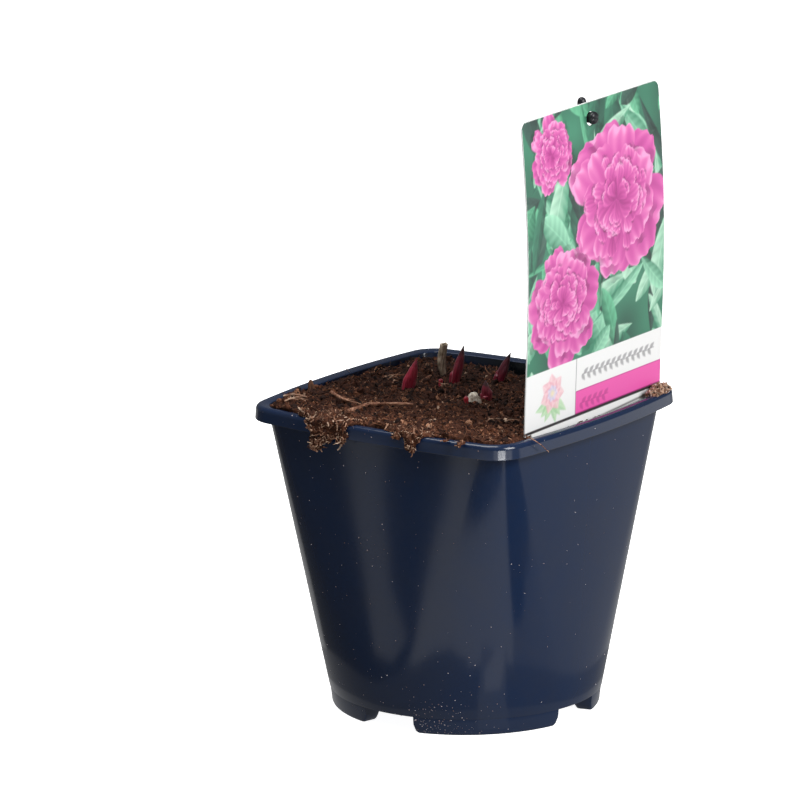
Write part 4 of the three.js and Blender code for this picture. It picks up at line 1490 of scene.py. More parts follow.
@dataclass
class Peony:
    """The crown with its roots, four shoots, two eye buds and last year's stalk."""

    socket_z: float = 145
    flatness: float = 0.8
    lean_along: Triple = (0.81, 0.58, 0)
    stalk_path: tuple[Triple, ...] = (
        (-43, 42.5, 145), (-43.3, 42.7, 155), (-44.4, 42.2, 163), (-43.1, 42.8, 172.6))
    stalk_radii: tuple[float, ...] = (1.5, 1.4, 2.35, 2.2)
    stalk_sides: int = 28
    crown_voxel: float = 0.9
    shoots: tuple[Shoot, ...] = (
        Shoot("shoot_1", (-39.7, 4.2, 156.4), 16.8, 5.7, 6.6, 47, CRIMSON, "shoot", WRAPS),
        Shoot("shoot_2", (-33.6, 38.5, 155.1), 19.3, 5.1, 5.9, 94, MAROON, "shoot", WRAPS),
        Shoot("shoot_3", (-17.9, 54.7, 154.0), 15.3, 7.1, 5.8, 141, DARK_MAROON, "shoot", WRAPS),
        Shoot("shoot_4", (5.1, 11.8, 155.8), 10.3, -0.5, 5.4, 188, MAROON, "shoot", WRAPS),
        Shoot("bud_1", (-34.9, 27.9, 155.5), 2.9, 0.1, 2.6, 0, BUD_RED, "bud"),
        Shoot("bud_2", (4.7, -5.4, 157.1), 4.4, -0.2, 3, 0, BUD_RED, "bud"),
    )

    def spear(self, foot: np.ndarray, base: np.ndarray, tip: np.ndarray, wide: float) -> tuple[np.ndarray,
                                                                                               list]:
        """A spear from its foot in the crown to its tip, widest a third of the way up from the soil.

        Args:
            foot: its lower end.
            base: where it leaves the soil.
            tip: its point.
            wide: its greatest width.

        Returns:
            Points and faces.
        """
        share = np.linspace(0, 1, 37)[:, None]
        bend = base + 0.25 * (tip - base)
        path = (1 - share) ** 2 * foot + 2 * share * (1 - share) * bend + share ** 2 * tip
        u = share[:, 0]
        full = (base[2] - foot[2] + (tip[2] - base[2]) / 3) / (tip[2] - foot[2])
        rise = 0.55 + 0.45 * smoothstep(u, 0, full)
        fall = 1 - np.clip((u - full) / (1 - full), 0, 1) ** 1.6
        half = 0.5 * wide * np.where(u < full, rise, np.maximum(fall, 0.03))
        return sweep(path, half, half * self.flatness, 30, ribs=7, rib_depth=0.035)

    def shoot_piece(self, shoot: Shoot) -> None:
        """Builds and dresses one shoot with its wrapping scales.

        Args:
            shoot: its place and sizes.
        """
        base = np.array(shoot.base)
        lean = np.array(self.lean_along)
        foot = np.array([base[0], base[1], self.socket_z]) - 0.3 * shoot.lean * lean
        tip = base + lean * shoot.lean + (0, 0, shoot.height)
        shells = [self.spear(foot, base, tip, shoot.wide)]
        for side, reach, share, away in shoot.scales:
            turn = math.radians(side + shoot.turn)
            out = away * shoot.wide * np.array([math.cos(turn), math.sin(turn), 0])
            scale_tip = base + reach * (tip - base) + 1.15 * out
            shells.append(self.spear(foot + 0.5 * out, base + out, scale_tip, shoot.wide * share))
        points, faces = joined(shoot.node, shells)
        piece = mesh_piece(f"{shoot.node}_skin", points, faces, sharp=60)
        height_share = np.clip((points[:, 2] - base[2]) / max(shoot.height, 1), 0, 1)
        turns = np.arctan2(points[:, 1] - base[1],
                           points[:, 0] - base[0] - lean[0] * shoot.lean * height_share)
        store(piece, "height_share", height_share)
        store(piece, "round_share", turns / 2)
        existing = bpy.data.materials.get(shoot.finish.name)
        finished(piece, existing or shoot.finish.make(), (shoot.node,))

    def stalk(self) -> None:
        """Last year's stalk: a dry bent tube with a ragged hollow top."""
        steps, bore_steps, sides = 40, 8, self.stalk_sides
        path = curve_through(list(self.stalk_path), steps)
        spans = len(self.stalk_radii) - 1
        radius = np.interp(np.linspace(0, spans, steps + 1), np.arange(spans + 1), self.stalk_radii)
        bore_share = np.linspace(0.6, 1, bore_steps + 1)
        outer, _ = sweep(path, radius, radius * 0.86, sides, ribs=9, rib_depth=0.07)
        inner, _ = sweep(path[steps - bore_steps:], 1.15 * bore_share, bore_share, sides)
        rings = [outer[k * sides:(k + 1) * sides] for k in range(steps + 1)]
        bore = [inner[k * sides:(k + 1) * sides] for k in range(bore_steps + 1)][::-1]
        turns = np.arange(sides) * 2 * math.pi / sides
        ragged = 0.25 * np.sin(turns * 3 + 1) + 0.15 * np.sin(turns * 7) + 0.3 * np.cos(turns)
        rings[-1] = rings[-1] + np.stack([0 * turns, 0 * turns, ragged], axis=1)
        bore[0] = bore[0] + np.stack([0 * turns, 0 * turns, ragged * 0.8 - 0.15], axis=1)
        points, faces = loft(rings + bore)
        piece = mesh_piece("old_stem_stalk", points, faces, sharp=50)
        finish = WeatheredFibre("dry herbaceous stalk", "#6a5a4c", "#ab9a84", "#dccdb8", 0.7)
        finished(piece, finish.make(), ("old_stem",))

    def crown(self) -> None:
        """The crown and its roots: the solid's own skin, melted finer and made knobbly."""
        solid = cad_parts["rootstock"]
        mesh = solid.data.copy()
        rough = bmesh.new()
        rough.from_mesh(mesh)
        bmesh.ops.remove_doubles(rough, verts=rough.verts, dist=1e-6)
        rough.to_mesh(mesh)
        rough.free()
        piece = bpy.data.objects.new("crown_and_roots", mesh)
        bpy.context.scene.collection.objects.link(piece)
        melted(piece, self.crown_voxel)
        points = points_of(piece)
        near_top = smoothstep(points[:, 2], 150, 156)
        swell = (0.35 + 0.5 * near_top) * grain(points, 2.2, 51) + (0.25 + 0.35 * near_top) * grain(points,
                                                                                                    1.1, 52)
        move_points(piece, points + rows_of(piece, "normal") * swell[:, None])
        finish = WeatheredFibre("peony crown flesh and cork", "#6b5b4c", "#c9bdac", "#f1ece2", 1.6, (1, 1, 1))
        finished(piece, finish.make(), ("rootstock",), smooth=True)

    def build(self) -> None:
        """Builds the whole plant."""
        for shoot in self.shoots:
            self.shoot_piece(shoot)
        self.stalk()
        self.crown()


# Bits of wood and straw


@dataclass
class Debris:
    """Straws and a bark chip that lie on the soil.

    Each twig is a node, places along it as x, y and height over the bed's form, and its half thickness. Each
    loose straw is x, y, direction in degrees and length.
    """

    soil: PottingSoil
    twigs: tuple[tuple[str, tuple[Triple, ...], float], ...] = (
        ("twig_1", ((-24.5, -69, 1.9), (-27, -52, 1.8), (-25.5, -40, 1.4), (-12, -28.6, 0.9)), 1.25),
        ("twig_2", ((-60.5, -32.5, 1.4), (-44.2, -43, 1.4), (-32.5, -45.6, 1.2)), 0.95),
        ("twig_3", ((-43.2, 21.5, 0.4), (-43.8, 28, 0.9), (-44, 33.5, 1.3)), 0.8),
    )
    loose_straws: tuple[tuple[float, float, float, float], ...] = (
        (-56, 14, 20, 7), (-54, 12, 75, 6), (-48, 6, 85, 5), (-60, -62, 10, 9), (-66, -56, 35, 12),
        (-61, -66, 65, 8), (45, -42, 60, 5), (52, -36, 15, 4), (-24.4, 15.7, 40, 2.2))
    loose_radius: float = 0.42
    chip_path: tuple[Triple, ...] = (
        (-72.9, -31.6, 152), (-73.3, -31.8, 158), (-74, -32.2, 164.4))
    chip_half: float = 2.4
    strand_path: tuple[Triple, ...] = (
        (70, -48, 158.8), (75.2, -54.6, 160.5), (82.2, -58.6, 160.6), (85.9, -57, 158), (86.3, -51, 153.3))

    def straw(self, name: str, spots: tuple, radius: float, seed: int) -> Shell:
        """One bent straw pressed half into the soil, with thinner strands beside it.

        Args:
            name: name for the log.
            spots: x, y and height over the bed's form along it.
            radius: its half thickness.
            seed: number of its strands' pattern.

        Returns:
            Points and faces.
        """
        flat = np.array(spots, float)
        lifted = flat.copy()
        lifted[:, 2] = self.soil.form(flat[:, 0], flat[:, 1]) + flat[:, 2] + 0.6
        main = curve_through(lifted.tolist(), 36)
        share = np.linspace(0, 1, 37)
        taper = radius * (1 - 0.5 * share) * (1 + 0.12 * np.sin(share * 23 + seed))
        shells = [sweep(main, taper, taper * 0.7, 10, across=(0.3, 0.2, 1), ribs=4, rib_depth=0.12)]
        for number in range(3):
            start = int(4 + 10 * float(chance(number, 1, seed, 3)))
            end = int(22 + 14 * float(chance(number, 2, seed, 3)))
            strand = main[start:end].copy()
            drift = np.linspace(0, 1, len(strand)) ** 1.5
            sway = np.array([2 * float(chance(number, k, seed, 4)) - 1 for k in (1, 2)] + [0.35])
            strand += np.outer(drift, sway * 5) * (1, 1, 0.4) + (0, 0, 0.3)
            thin = radius * 0.4 * (1 - 0.7 * drift)
            shells.append(sweep(strand, thin, thin, 6, across=(0.3, 0.2, 1)))
        return joined(name, shells)

    def build(self) -> None:
        """Builds the straws and the bark chip."""
        straw = WeatheredFibre("straw and torn bark strips", "#4a2c20", "#8f6049", "#c89c80", 0.8,
                               (0.3, 0.3, 1)).make()
        bark = WeatheredFibre("pine bark chip", "#2a170f", "#5c3a27", "#8a6144", 1.0).make()
        for seed, (node, spots, radius) in enumerate(self.twigs):
            piece = mesh_piece(f"{node}_straw", *self.straw(node, spots, radius, seed), sharp=60)
            finished(piece, straw, (node,))
        path = curve_through(list(self.chip_path), 20)
        wide = self.chip_half * np.interp(np.linspace(0, 1, 21), [0, 0.3, 0.8, 0.95, 1],
                                          [1, 1.05, 0.75, 0.5, 0.15])
        flake = sweep(path, wide, wide * 0.45, 14, across=(0.2, 1, 0), ribs=5, rib_depth=0.1)
        finished(mesh_piece("bark_chip_flake", *flake), bark, ("bark_chip",))
        shells = []
        for seed, (x, y, turn, length) in enumerate(self.loose_straws):
            along_x, along_y = (length / 2 * part(math.radians(turn)) for part in (math.cos, math.sin))
            spots = ((x - along_x, y - along_y, 1.8), (x, y, 2.9), (x + along_x, y + along_y, 2.0))
            shells.append(self.straw("loose straw", spots, self.loose_radius, seed + 7))
        loose = mesh_piece("loose_straws", *joined("loose straws", shells), sharp=60)
        pale = WeatheredFibre("pale straw", "#6e4a38", "#a57c64", "#d8bca4", 0.8, (0.3, 0.3, 1)).make()
        finished(loose, pale)
        strand = curve_through(list(self.strand_path), 30)
        thin = np.linspace(0.3, 0.16, 31)
        root = mesh_piece("fine_root_strand", *sweep(strand, thin, thin, 6, across=(0.3, 0.2, 1)))
        finished(root, straw)


# The label


class Ink(Enum):
    """Inks and paper of the label's print."""

    WHITE = "#f6f6f5"
    LINE = "#3a3638"
    GREY = "#8f8c90"
    BAR = "#f263b4"
    BAR_DARK = "#c4468f"


# Tints of the petals from their shaded feet to their lit rims, by brightness.
PETAL_TINTS = ((0, "#7d2468"), (0.3, "#b8408f"), (0.62, "#d75cab"), (0.85, "#e97cbd"), (1, "#f4a6d6"))

# Shaded and lit half of a leaf.
LEAF_TINTS = (("#2c6a52", "#74c79c"), ("#3a8567", "#a8e6c4"), ("#2c4840", "#478a6e"), ("#4a9c79", "#ccf4da"),
              ("#303a3a", "#45645a"))


@dataclass
class CardPrint:
    """The ink on the card's front: a generic flower design of its own.

    U runs across the card from its left edge and z is the height, both in millimetres. Each stroke covers
    what is there, in the array ink of linear colours.
    """

    u: np.ndarray
    z: np.ndarray
    width: float
    top: float
    margin: float = 0.35
    picture_low: float = 190.5
    divider_u: float = 44.6
    bar: Pair = (162.0, 173.4)
    bar_edge: Pair = (161.2, 173.9)
    line_z: float = 160.9
    leaves: int = 150
    ruffles: int = 64

    def __post_init__(self) -> None:
        """Starts with bare paper."""
        self.ink = np.tile(light_of(Ink.WHITE.value), (len(self.u), 1))

    def lay(self, cover: np.ndarray, colour: np.ndarray) -> None:
        """Lays linear colours over the ink, as much as cover says from 0 to 1."""
        self.ink = self.ink * (1 - cover[:, None]) + colour * cover[:, None]

    def fill(self, mask: np.ndarray, ink: Ink) -> None:
        """Fills a masked place with one ink."""
        self.ink[mask] = light_of(ink.value)

    def seen_from(self, foot: Pair, turn: float) -> tuple[np.ndarray, np.ndarray]:
        """Measures every place along and across a stroke.

        Args:
            foot: u and z of the stroke's foot.
            turn: direction that it points in, in degrees.

        Returns:
            Distances along it and across it.
        """
        c, s = math.cos(math.radians(turn)), math.sin(math.radians(turn))
        u, z = self.u - foot[0], self.z - foot[1]
        return u * c + z * s, -u * s + z * c

    def leaf(self, foot: Pair, turn: float, length: float, wide: float, dark: str, pale: str,
             fullness: float) -> None:
        """Paints one pointed leaf with a midrib.

        Args:
            foot: u and z of the leaf's foot.
            turn: direction that it points in, in degrees.
            length: its length.
            wide: its half width.
            dark: colour of its shaded half.
            pale: colour of its lit half.
            fullness: how opaque it is.
        """
        along, across = self.seen_from(foot, turn)
        along = along / length
        across = across + 0.12 * length * np.clip(along, 0, 1) ** 2
        half = wide * np.sin(math.pi * np.clip(along, 0, 1) ** 0.75) + 1e-6
        cover = np.clip((half - np.abs(across)) / 0.7 + 0.5, 0, 1) * ((along > 0) & (along < 1)) * fullness
        side = np.clip(across / half, -1, 1)
        veins = 0.08 * np.sin(along * 46 + np.abs(side) * 5)
        light = np.clip(0.5 + 0.42 * side + veins - 0.25 * (along - 0.5), 0, 1)[:, None]
        colour = light_of(dark) * (1 - light) + light_of(pale) * light
        rib = np.exp(-(across / 0.45) ** 2)[:, None] * 0.35
        self.lay(cover, colour * (1 - rib) + light_of(pale) * 1.15 * rib)

    def petal(self, foot: Pair, turn: float, length: float, wide: float, shade: float, seed: int) -> None:
        """Paints one ruffled petal and the shadow that it throws on what is there.

        Args:
            foot: u and z of the petal's foot.
            turn: direction that it points in, in degrees.
            length: its length.
            wide: its half width.
            shade: its brightness, from 0 to 1.
            seed: number of its ruffles.
        """
        along, across = self.seen_from(foot, turn)
        along = along / length
        wave = 1 + 0.035 * np.sin(across / wide * 4 + seed * 2.1) + 0.016 * np.sin(across / wide * 15 + seed)
        reach = np.clip(along / wave, 0, 1.2)
        half = wide * np.clip(reach, 0, 1) ** 0.7 * np.clip(1 - reach ** 6, 0, 1) ** 0.4 + 1e-6
        edge = half - np.abs(across)
        inside = (along > 0) & (reach < 1)
        shadow = 0.34 * np.exp(-(np.clip(-edge, 0, None) / (0.09 * length + 0.8)) ** 2)
        shadow *= (along > 0.1) * (reach < 1.12)
        self.ink *= (1 - shadow * ~inside)[:, None]
        side = across / half
        streak = 0.10 * np.sin(side * 9 + 3 * np.sin(reach * 4 + seed)) * reach
        rim = np.exp(-(np.clip(edge, 0, None) / 1.6) ** 2) * 0.12 + np.exp(-((1 - reach) / 0.12) ** 2) * 0.16
        lit_side = 0.16 * side * math.cos(math.radians(turn - 120))
        light = np.clip(shade * (0.22 + 0.75 * reach) + streak + lit_side + rim, 0, 1)
        places, codes = zip(*PETAL_TINTS)
        tints = np.array([light_of(code) for code in codes])
        colour = np.stack([np.interp(light, places, tints[:, k]) for k in range(3)], axis=1)
        self.lay(np.clip(edge / 0.6 + 0.5, 0, 1) * inside, colour)

    def bloom(self, middle: Pair, size: float, seed: int) -> None:
        """Paints a double bloom: rows of petals, each smaller and over the last, and ruffles in the heart.

        Args:
            middle: u and z of the bloom's middle.
            size: its radius.
            seed: number of its pattern.
        """
        rows = ((7, 1.0, 0.44, 0.7), (6, 0.86, 0.4, 0.86), (6, 0.7, 0.32, 0.78))
        for row, (count, reach, wide, shade) in enumerate(rows):
            for k in range(count):
                luck = [float(chance(k, row, n, seed)) for n in range(4)]
                turn = 360 * (k + 0.5 * row + 0.5 * (luck[0] - 0.5)) / count
                self.petal(middle, turn, size * reach * (0.88 + 0.24 * luck[1]),
                           size * wide * (0.85 + 0.3 * luck[2]),
                           shade * (0.85 + 0.25 * luck[3]), seed + k + 10 * row)
        for k in range(self.ruffles):
            luck = [float(chance(k, 7, n, seed)) for n in range(6)]
            away = size * 0.52 * (1 - k / self.ruffles) ** 0.7 * (0.75 + 0.35 * luck[0])
            turn = 137.5 * k + 40 * (luck[1] - 0.5)
            foot = (middle[0] + away * math.cos(math.radians(turn)) * 0.8,
                    middle[1] + away * math.sin(math.radians(turn)) * 0.8)
            self.petal(foot, turn + 110 * (luck[2] - 0.5), size * (0.17 + 0.17 * luck[3]),
                       size * (0.08 + 0.08 * luck[4]), 0.55 + 0.5 * luck[5], seed + 3 * k)

    def picture(self) -> None:
        """Paints the picture: leaves, and over them one large and two smaller blooms."""
        self.ink[:] = light_of("#2b443e")
        flat = np.stack([self.u, self.z, np.zeros_like(self.u)], axis=1)
        self.lay(0.5 + 0.5 * grain(flat, 22, 71), light_of("#4a8f72"))
        for number in range(self.leaves):
            luck = [float(chance(number, n, 7, 13)) for n in range(7)]
            dark, pale = LEAF_TINTS[int(luck[0] * (len(LEAF_TINTS) - 0.001))]
            foot = (-12 + 143 * luck[1], 186 + 140 * luck[2])
            turn = 20 + 130 * luck[3] + (180 if luck[4] > 0.72 else 0)
            self.leaf(foot, turn, 18 + 36 * luck[6], 2 + 6 * luck[5], dark, pale, 0.92)
        for middle, size, seed in (((24, 299), 19, 5), ((31, 222), 31, 9), ((79, 266), 42, 3)):
            self.bloom(middle, size, seed)

    def small_flower(self) -> None:
        """Paints the small pale flower with its leaves on the white square at the lower left."""
        middle, stem = (23.5, 177.5), (23.5, 174)
        for turn, length in ((200, 15), (335, 15), (245, 12), (292, 13), (222, 12), (315, 12)):
            self.leaf(stem, turn, length, 2.8, "#9ccf98", "#cfe8c2", 0.85)
        petals = 7
        rows = ((0, 10.5, 4.4, "#eeb6c0", "#f9dcdf"), (22, 7.5, 3.4, "#e9a9b8", "#fbe3e6"),
                (5, 4.6, 2.2, "#c7c4e6", "#f3e3ee"))
        for turn, length, wide, dark, pale in rows:
            for step in range(petals):
                self.leaf(middle, turn + step * 360 / petals, length, wide, dark, pale, 0.85)
        heart = np.exp(-((self.u - middle[0]) ** 2 + (self.z - middle[1]) ** 2) / 3) * 0.8
        self.lay(heart, light_of("#f1e3a8"))

    def garland(self, start: Pair, pairs: int, ink: Ink) -> None:
        """Paints a level stem with pairs of small leaves.

        Args:
            start: u and z of the stem's left end.
            pairs: number of its pairs of leaves.
            ink: its ink.
        """
        step, turn = 5.0, 42
        for number in range(pairs):
            for side in (-1, 1):
                foot = (start[0] + step * number + side, start[1])
                self.leaf(foot, side * turn, 4.6, 1.2, ink.value, ink.value, 0.75)
        sway = 0.3 * np.sin((self.u - start[0]) * math.pi / step)
        stem = np.exp(-((self.z - start[1] - sway) / 0.33) ** 2) * 0.7
        stem *= (self.u > start[0] - 1) & (self.u < start[0] + step * pairs)
        self.lay(stem, light_of(ink.value))

    def paint(self) -> None:
        """Prints the whole front, and paints a shadow line across its lower part."""
        u, z = self.u, self.z
        art = CardPrint(u, z, self.width, self.top)
        art.picture()
        within = u < self.width - self.margin
        framed = (u > self.margin) & within & (z > self.picture_low) & (z < self.top - self.margin)
        self.ink[framed] = art.ink[framed]
        self.small_flower()
        right = (u > self.divider_u) & within
        for (low, high), ink in ((self.bar_edge, Ink.BAR_DARK), (self.bar, Ink.BAR)):
            self.fill(right & (z > low) & (z < high), ink)
        self.garland((49.5, 166.4), 5, Ink.BAR_DARK)
        self.garland((50.5, 181.4), 13, Ink.GREY)
        self.fill((np.abs(u - self.divider_u) < 0.35) & (z > self.line_z) & (z < self.picture_low), Ink.GREY)
        self.fill(np.abs(z - self.line_z) < 0.6, Ink.LINE)
        # A thin dark line that slopes across the lower card below the bar: a painted shadow line.
        painted_shadow_line = np.exp(-((z - 155.7 - 0.048 * (u - 68)) / 0.6) ** 2) * smoothstep(u, 30, 80) * 0.85
        self.lay(painted_shadow_line, light_of(Ink.LINE.value))


@dataclass
class PictureLabel:
    """The tall printed card, hung by a peg on its stake.

    Bow gives heights and the card's X there. Stake_profile gives shares of the radius and heights over the
    stake's lower end, and peg_profile gives radii and places along X.
    """

    width: float = 122
    middle_y: float = 6.3
    bottom: float = 146
    top: float = 319.4
    corner: float = 5
    foot_width: float = 110
    shoulder_z: float = 160.1
    tilt: float = 1.25
    thickness: float = 0.6
    hole_radius: float = 3.6
    hole_z: float = 310.8
    bow: tuple[Pair, ...] = ((146, 71.5), (160, 72.0), (200, 73.8), (240, 75.4), (285, 74.4), (321, 72.2))
    pitch: float = 0.5
    stake_x: float = 68
    stake_y: float = 5
    stake_radius: float = 2.3
    stake_bottom: float = 78
    stake_profile: tuple[Pair, ...] = (
        (0.05, 0.0), (0.35, 0.4), (1.0, 14), (1.0, 240), (0.97, 241), (0.85, 242), (0.6, 242.7), (0.3, 243),
        (0.02, 243))
    peg_profile: tuple[Pair, ...] = (
        (0.02, 66.5), (2.7, 66.5), (2.75, 73.6), (3.15, 74.0), (3.25, 74.6), (3.15, 75.6), (2.7, 76.4),
        (1.6, 76.9),
        (0.05, 77))
    sides: int = 24

    def flat_places(self, hole_u: float) -> tuple[np.ndarray, np.ndarray, np.ndarray]:
        """Lays a grid over the upright card, with the points at its corners and hole moved onto their arcs.

        Args:
            hole_u: the hole's place across the card.

        Returns:
            Places across, heights, and which points are outside the card, one row for each height.
        """
        across = np.linspace(0, self.width, int(round(self.width / self.pitch)) + 1)
        up = np.linspace(self.bottom, self.top, int(round((self.top - self.bottom) / self.pitch)) + 1)
        u, z = (grid.astype(float) for grid in np.meshgrid(across, up))
        hidden = np.zeros(u.shape, bool)
        for side_u in (self.corner, self.width - self.corner):
            du, dz = u - side_u, z - (self.top - self.corner)
            far = np.hypot(du, dz)
            cut = (du * (side_u - self.width / 2) > 0) & (dz > 0) & (far > self.corner)
            hidden |= cut
            pull = np.where(cut, self.corner / np.maximum(far, 1e-6), 1)
            u, z = side_u + du * pull, self.top - self.corner + dz * pull
        du, dz = u - hole_u, z - self.hole_z
        far = np.hypot(du, dz)
        cut = far < self.hole_radius
        push = np.where(cut, self.hole_radius / np.maximum(far, 1e-3), 1)
        return hole_u + du * push, self.hole_z + dz * push, hidden | cut

    def bent(self, u: np.ndarray, z: np.ndarray, hole_u: float) -> tuple[np.ndarray, np.ndarray, np.ndarray]:
        """Bows the card and turns it askew about its hole.

        Args:
            u: places across the card.
            z: heights on the upright card.
            hole_u: the hole's place across the card.

        Returns:
            X, y and z of the middle of its thickness.
        """
        bow_z, bow_x = np.array(self.bow).T
        x = np.polyval(np.polyfit(bow_z - 230, bow_x, 4), z - 230)
        c, s = math.cos(math.radians(self.tilt)), math.sin(math.radians(self.tilt))
        from_y, from_z = u - hole_u, z - self.hole_z
        return x, self.stake_y + from_y * c - from_z * s, self.hole_z + from_y * s + from_z * c

    def card(self) -> Piece:
        """The card: a fine front that carries the print, a back of one face a row, and thin edges.

        Returns:
            The object, with its print as the colour attribute "print".
        """
        hole_u = self.stake_y - self.middle_y + self.width / 2
        u, z, hidden = self.flat_places(hole_u)
        number = np.arange(u.size).reshape(u.shape)
        u, z, hidden = u.ravel(), z.ravel(), hidden.ravel()
        cells = np.stack([number[:-1, :-1], number[:-1, 1:], number[1:, 1:], number[1:, :-1]], axis=-1)
        beside_foot = np.abs(u[cells].mean(axis=-1) - self.width / 2) > self.foot_width / 2
        kept = ~hidden[cells].all(axis=-1) & ~(beside_foot & (z[cells].mean(axis=-1) < self.shoulder_z))
        front = cells[kept]
        x, y, height = self.bent(u, z, hole_u)
        count = len(u)
        points = np.concatenate([np.stack([x + side * self.thickness / 2, y, height],
                                          axis=1) for side in (1, -1)])
        border = border_of(front)
        on_border = np.zeros(count, bool)
        on_border[np.array(border).ravel()] = True
        faces = front.tolist()
        faces += [[b, a, a + count, b + count] for a, b in border]
        for row, cells_kept in enumerate(kept):
            run = np.flatnonzero(np.diff(np.concatenate([[0], cells_kept.astype(int), [0]])))
            for start, end in zip(run[::2], run[1::2]):
                low = [k for k in number[row, start:end + 1] if on_border[k]]
                high = [k for k in number[row + 1, start:end + 1] if on_border[k]]
                faces.append([k + count for k in (low + high[::-1])[::-1]])
        piece = mesh_piece("label_card_sheet", points, faces, sharp=50)
        front_print = CardPrint(u, z, self.width, self.top)
        front_print.paint()
        ink = piece.data.color_attributes.new("print", "FLOAT_COLOR", "POINT")
        colours = np.ones((2 * count, 4), np.float32)
        colours[:, :3] = light_of(Ink.WHITE.value)
        colours[:count, :3] = front_print.ink
        ink.data.foreach_set("color", colours.ravel())
        loose = bmesh.new()
        loose.from_mesh(piece.data)
        bmesh.ops.delete(loose, geom=[v for v in loose.verts if not v.link_faces], context="VERTS")
        loose.to_mesh(piece.data)
        loose.free()
        return piece

    def stake(self) -> Piece:
        """The stake and the slotted round peg that holds the card.

        Returns:
            The object.
        """
        turns = np.arange(self.sides) * 2 * math.pi / self.sides
        ring = np.stack([np.cos(turns), np.sin(turns), np.zeros(self.sides)], axis=1)
        stem = [ring * self.stake_radius * share + (self.stake_x, self.stake_y, self.stake_bottom + up)
                for share, up in self.stake_profile]
        peg_z = self.hole_z + 0.5
        peg = [np.stack([np.full(self.sides, x), self.stake_y + radius * np.cos(turns),
                         peg_z + radius * np.sin(turns)], axis=1) for radius, x in self.peg_profile]
        points, faces = loft(peg)
        groove = (np.abs(points[:, 2] - peg_z - 0.1) < 0.45) & (points[:, 0] > 75)
        points[groove, 0] -= 0.5
        return mesh_piece("label_stake_and_peg", *joined("stake", [loft(stem), (points, faces)]))

    def build(self) -> None:
        """Builds and dresses the card and its stake."""
        finished(self.card(), PrintedCard().make(), ("label_card",))
        finished(self.stake(), BlackStakePlastic().make(), ("label_stake",))


# The studio


@dataclass(frozen=True)
class Reflector:
    """A glowing sheet under the floor, which only the object's own surfaces see.

    Corners are x and y in millimetres, anticlockwise seen from above. Below is the depth under the floor: of
    two sheets, the less deep one is seen.
    """

    name: str
    corners: tuple[Pair, ...]
    below: float
    glow: float

    def lay(self) -> None:
        """Lays it in the studio."""
        points = np.array([(x, y, -self.below) for x, y in self.corners], float)
        sheet = mesh_piece(self.name, points, [list(range(len(self.corners)))], smooth=False)
        material = bpy.data.materials.new(f"{self.name} glow")
        material.use_nodes = True
        tree = material.node_tree
        tree.nodes.clear()
        light = add_node(tree, "ShaderNodeEmission", {"Color": (1, 1, 1, 1), "Strength": self.glow})
        add_node(tree, "ShaderNodeOutputMaterial", links={"Surface": light.outputs[0]})
        sheet.data.materials.append(material)
        sheet.visible_camera = False
        sheet.visible_shadow = False


def arc(near: float, far: float, start: float, end: float) -> tuple[Pair, ...]:
    """The corners of a level sector.

    Args:
        near: its inner radius.
        far: its outer radius.
        start: its first direction in degrees.
        end: its last direction.

    Returns:
        X and y of each corner.
    """
    turns = np.radians(np.linspace(start, end, 12))
    outer = [(far * math.cos(turn), far * math.sin(turn)) for turn in turns]
    return tuple(outer + [(near * math.cos(turn), near * math.sin(turn)) for turn in turns[::-1]])


def circle(radius: float) -> tuple[Pair, ...]:
    """The corners of a level circle."""
    turns = np.arange(64) * 2 * math.pi / 64
    return tuple((radius * math.cos(turn), radius * math.sin(turn)) for turn in turns)


# The light and dark sheets that the pot's gloss mirrors, in place of the floor.
REFLECTORS = (
    Reflector("reflector_all_round", circle(3000), 4, 0.42),
    Reflector("reflector_left",
              ((-30, -95), (-40, -900), (-2500, -2600), (-2600, 300), (-140, -20), (-90, -60)), 3.5, 0.1),
    Reflector("reflector_front",
              ((0, -100), (-30, -170), (-130, -460), (-420, -1400), (1400, -1900), (700, -330), (270, -113),
               (150, -60), (90, -50)), 3, 0.8),
    Reflector("reflector_wedge",
              ((-48, -150), (-76, -150), (-160, -240), (-265, -350), (-800, -1000), (-600, -1060),
               (-211, -379),
               (-108, -240), (-44, -182)), 2.5, 0.6),
    Reflector("reflector_dark_right",
              ((150, -58), (270, -112), (900, -360), (1000, 500), (320, 150), (215, -8), (160, -40)), 2, 0.1),
    Reflector("reflector_gap",
              ((0, -303), (-40, -350), (-85, -430), (60, -370), (175, -290), (285, -168), (249, -142),
               (170, -200),
               (92, -243)), 1.8, 0.1),
    Reflector("reflector_shade", circle(126), 1.5, 0.24),
    Reflector("reflector_near", circle(86), 1, 0.38),
    Reflector("reflector_shade_left",
              ((-56, -106), (-26, -148), (16, -150), (49, -138), (74, -108), (38, -100), (-17, -96)), 1.4,
              0.25),
    Reflector("reflector_spot", ((48, -56), (61, -42), (81, -53), (118, -66), (96, -104), (64, -73)), 0.8,
              0.5),
    Reflector("reflector_spot_core", ((73, -73), (85, -61), (117, -68), (110, -82), (86, -86)), 0.7, 0.9),
    Reflector("reflector_lip_right", arc(820, 2900, 22, 75), 1.9, 1.05),
    Reflector("reflector_lip_glow", arc(1100, 2900, -64, -6), 1.7, 2.2),
    Reflector("reflector_lip_bright", arc(1150, 2900, -50, -28), 1.6, 15),
)


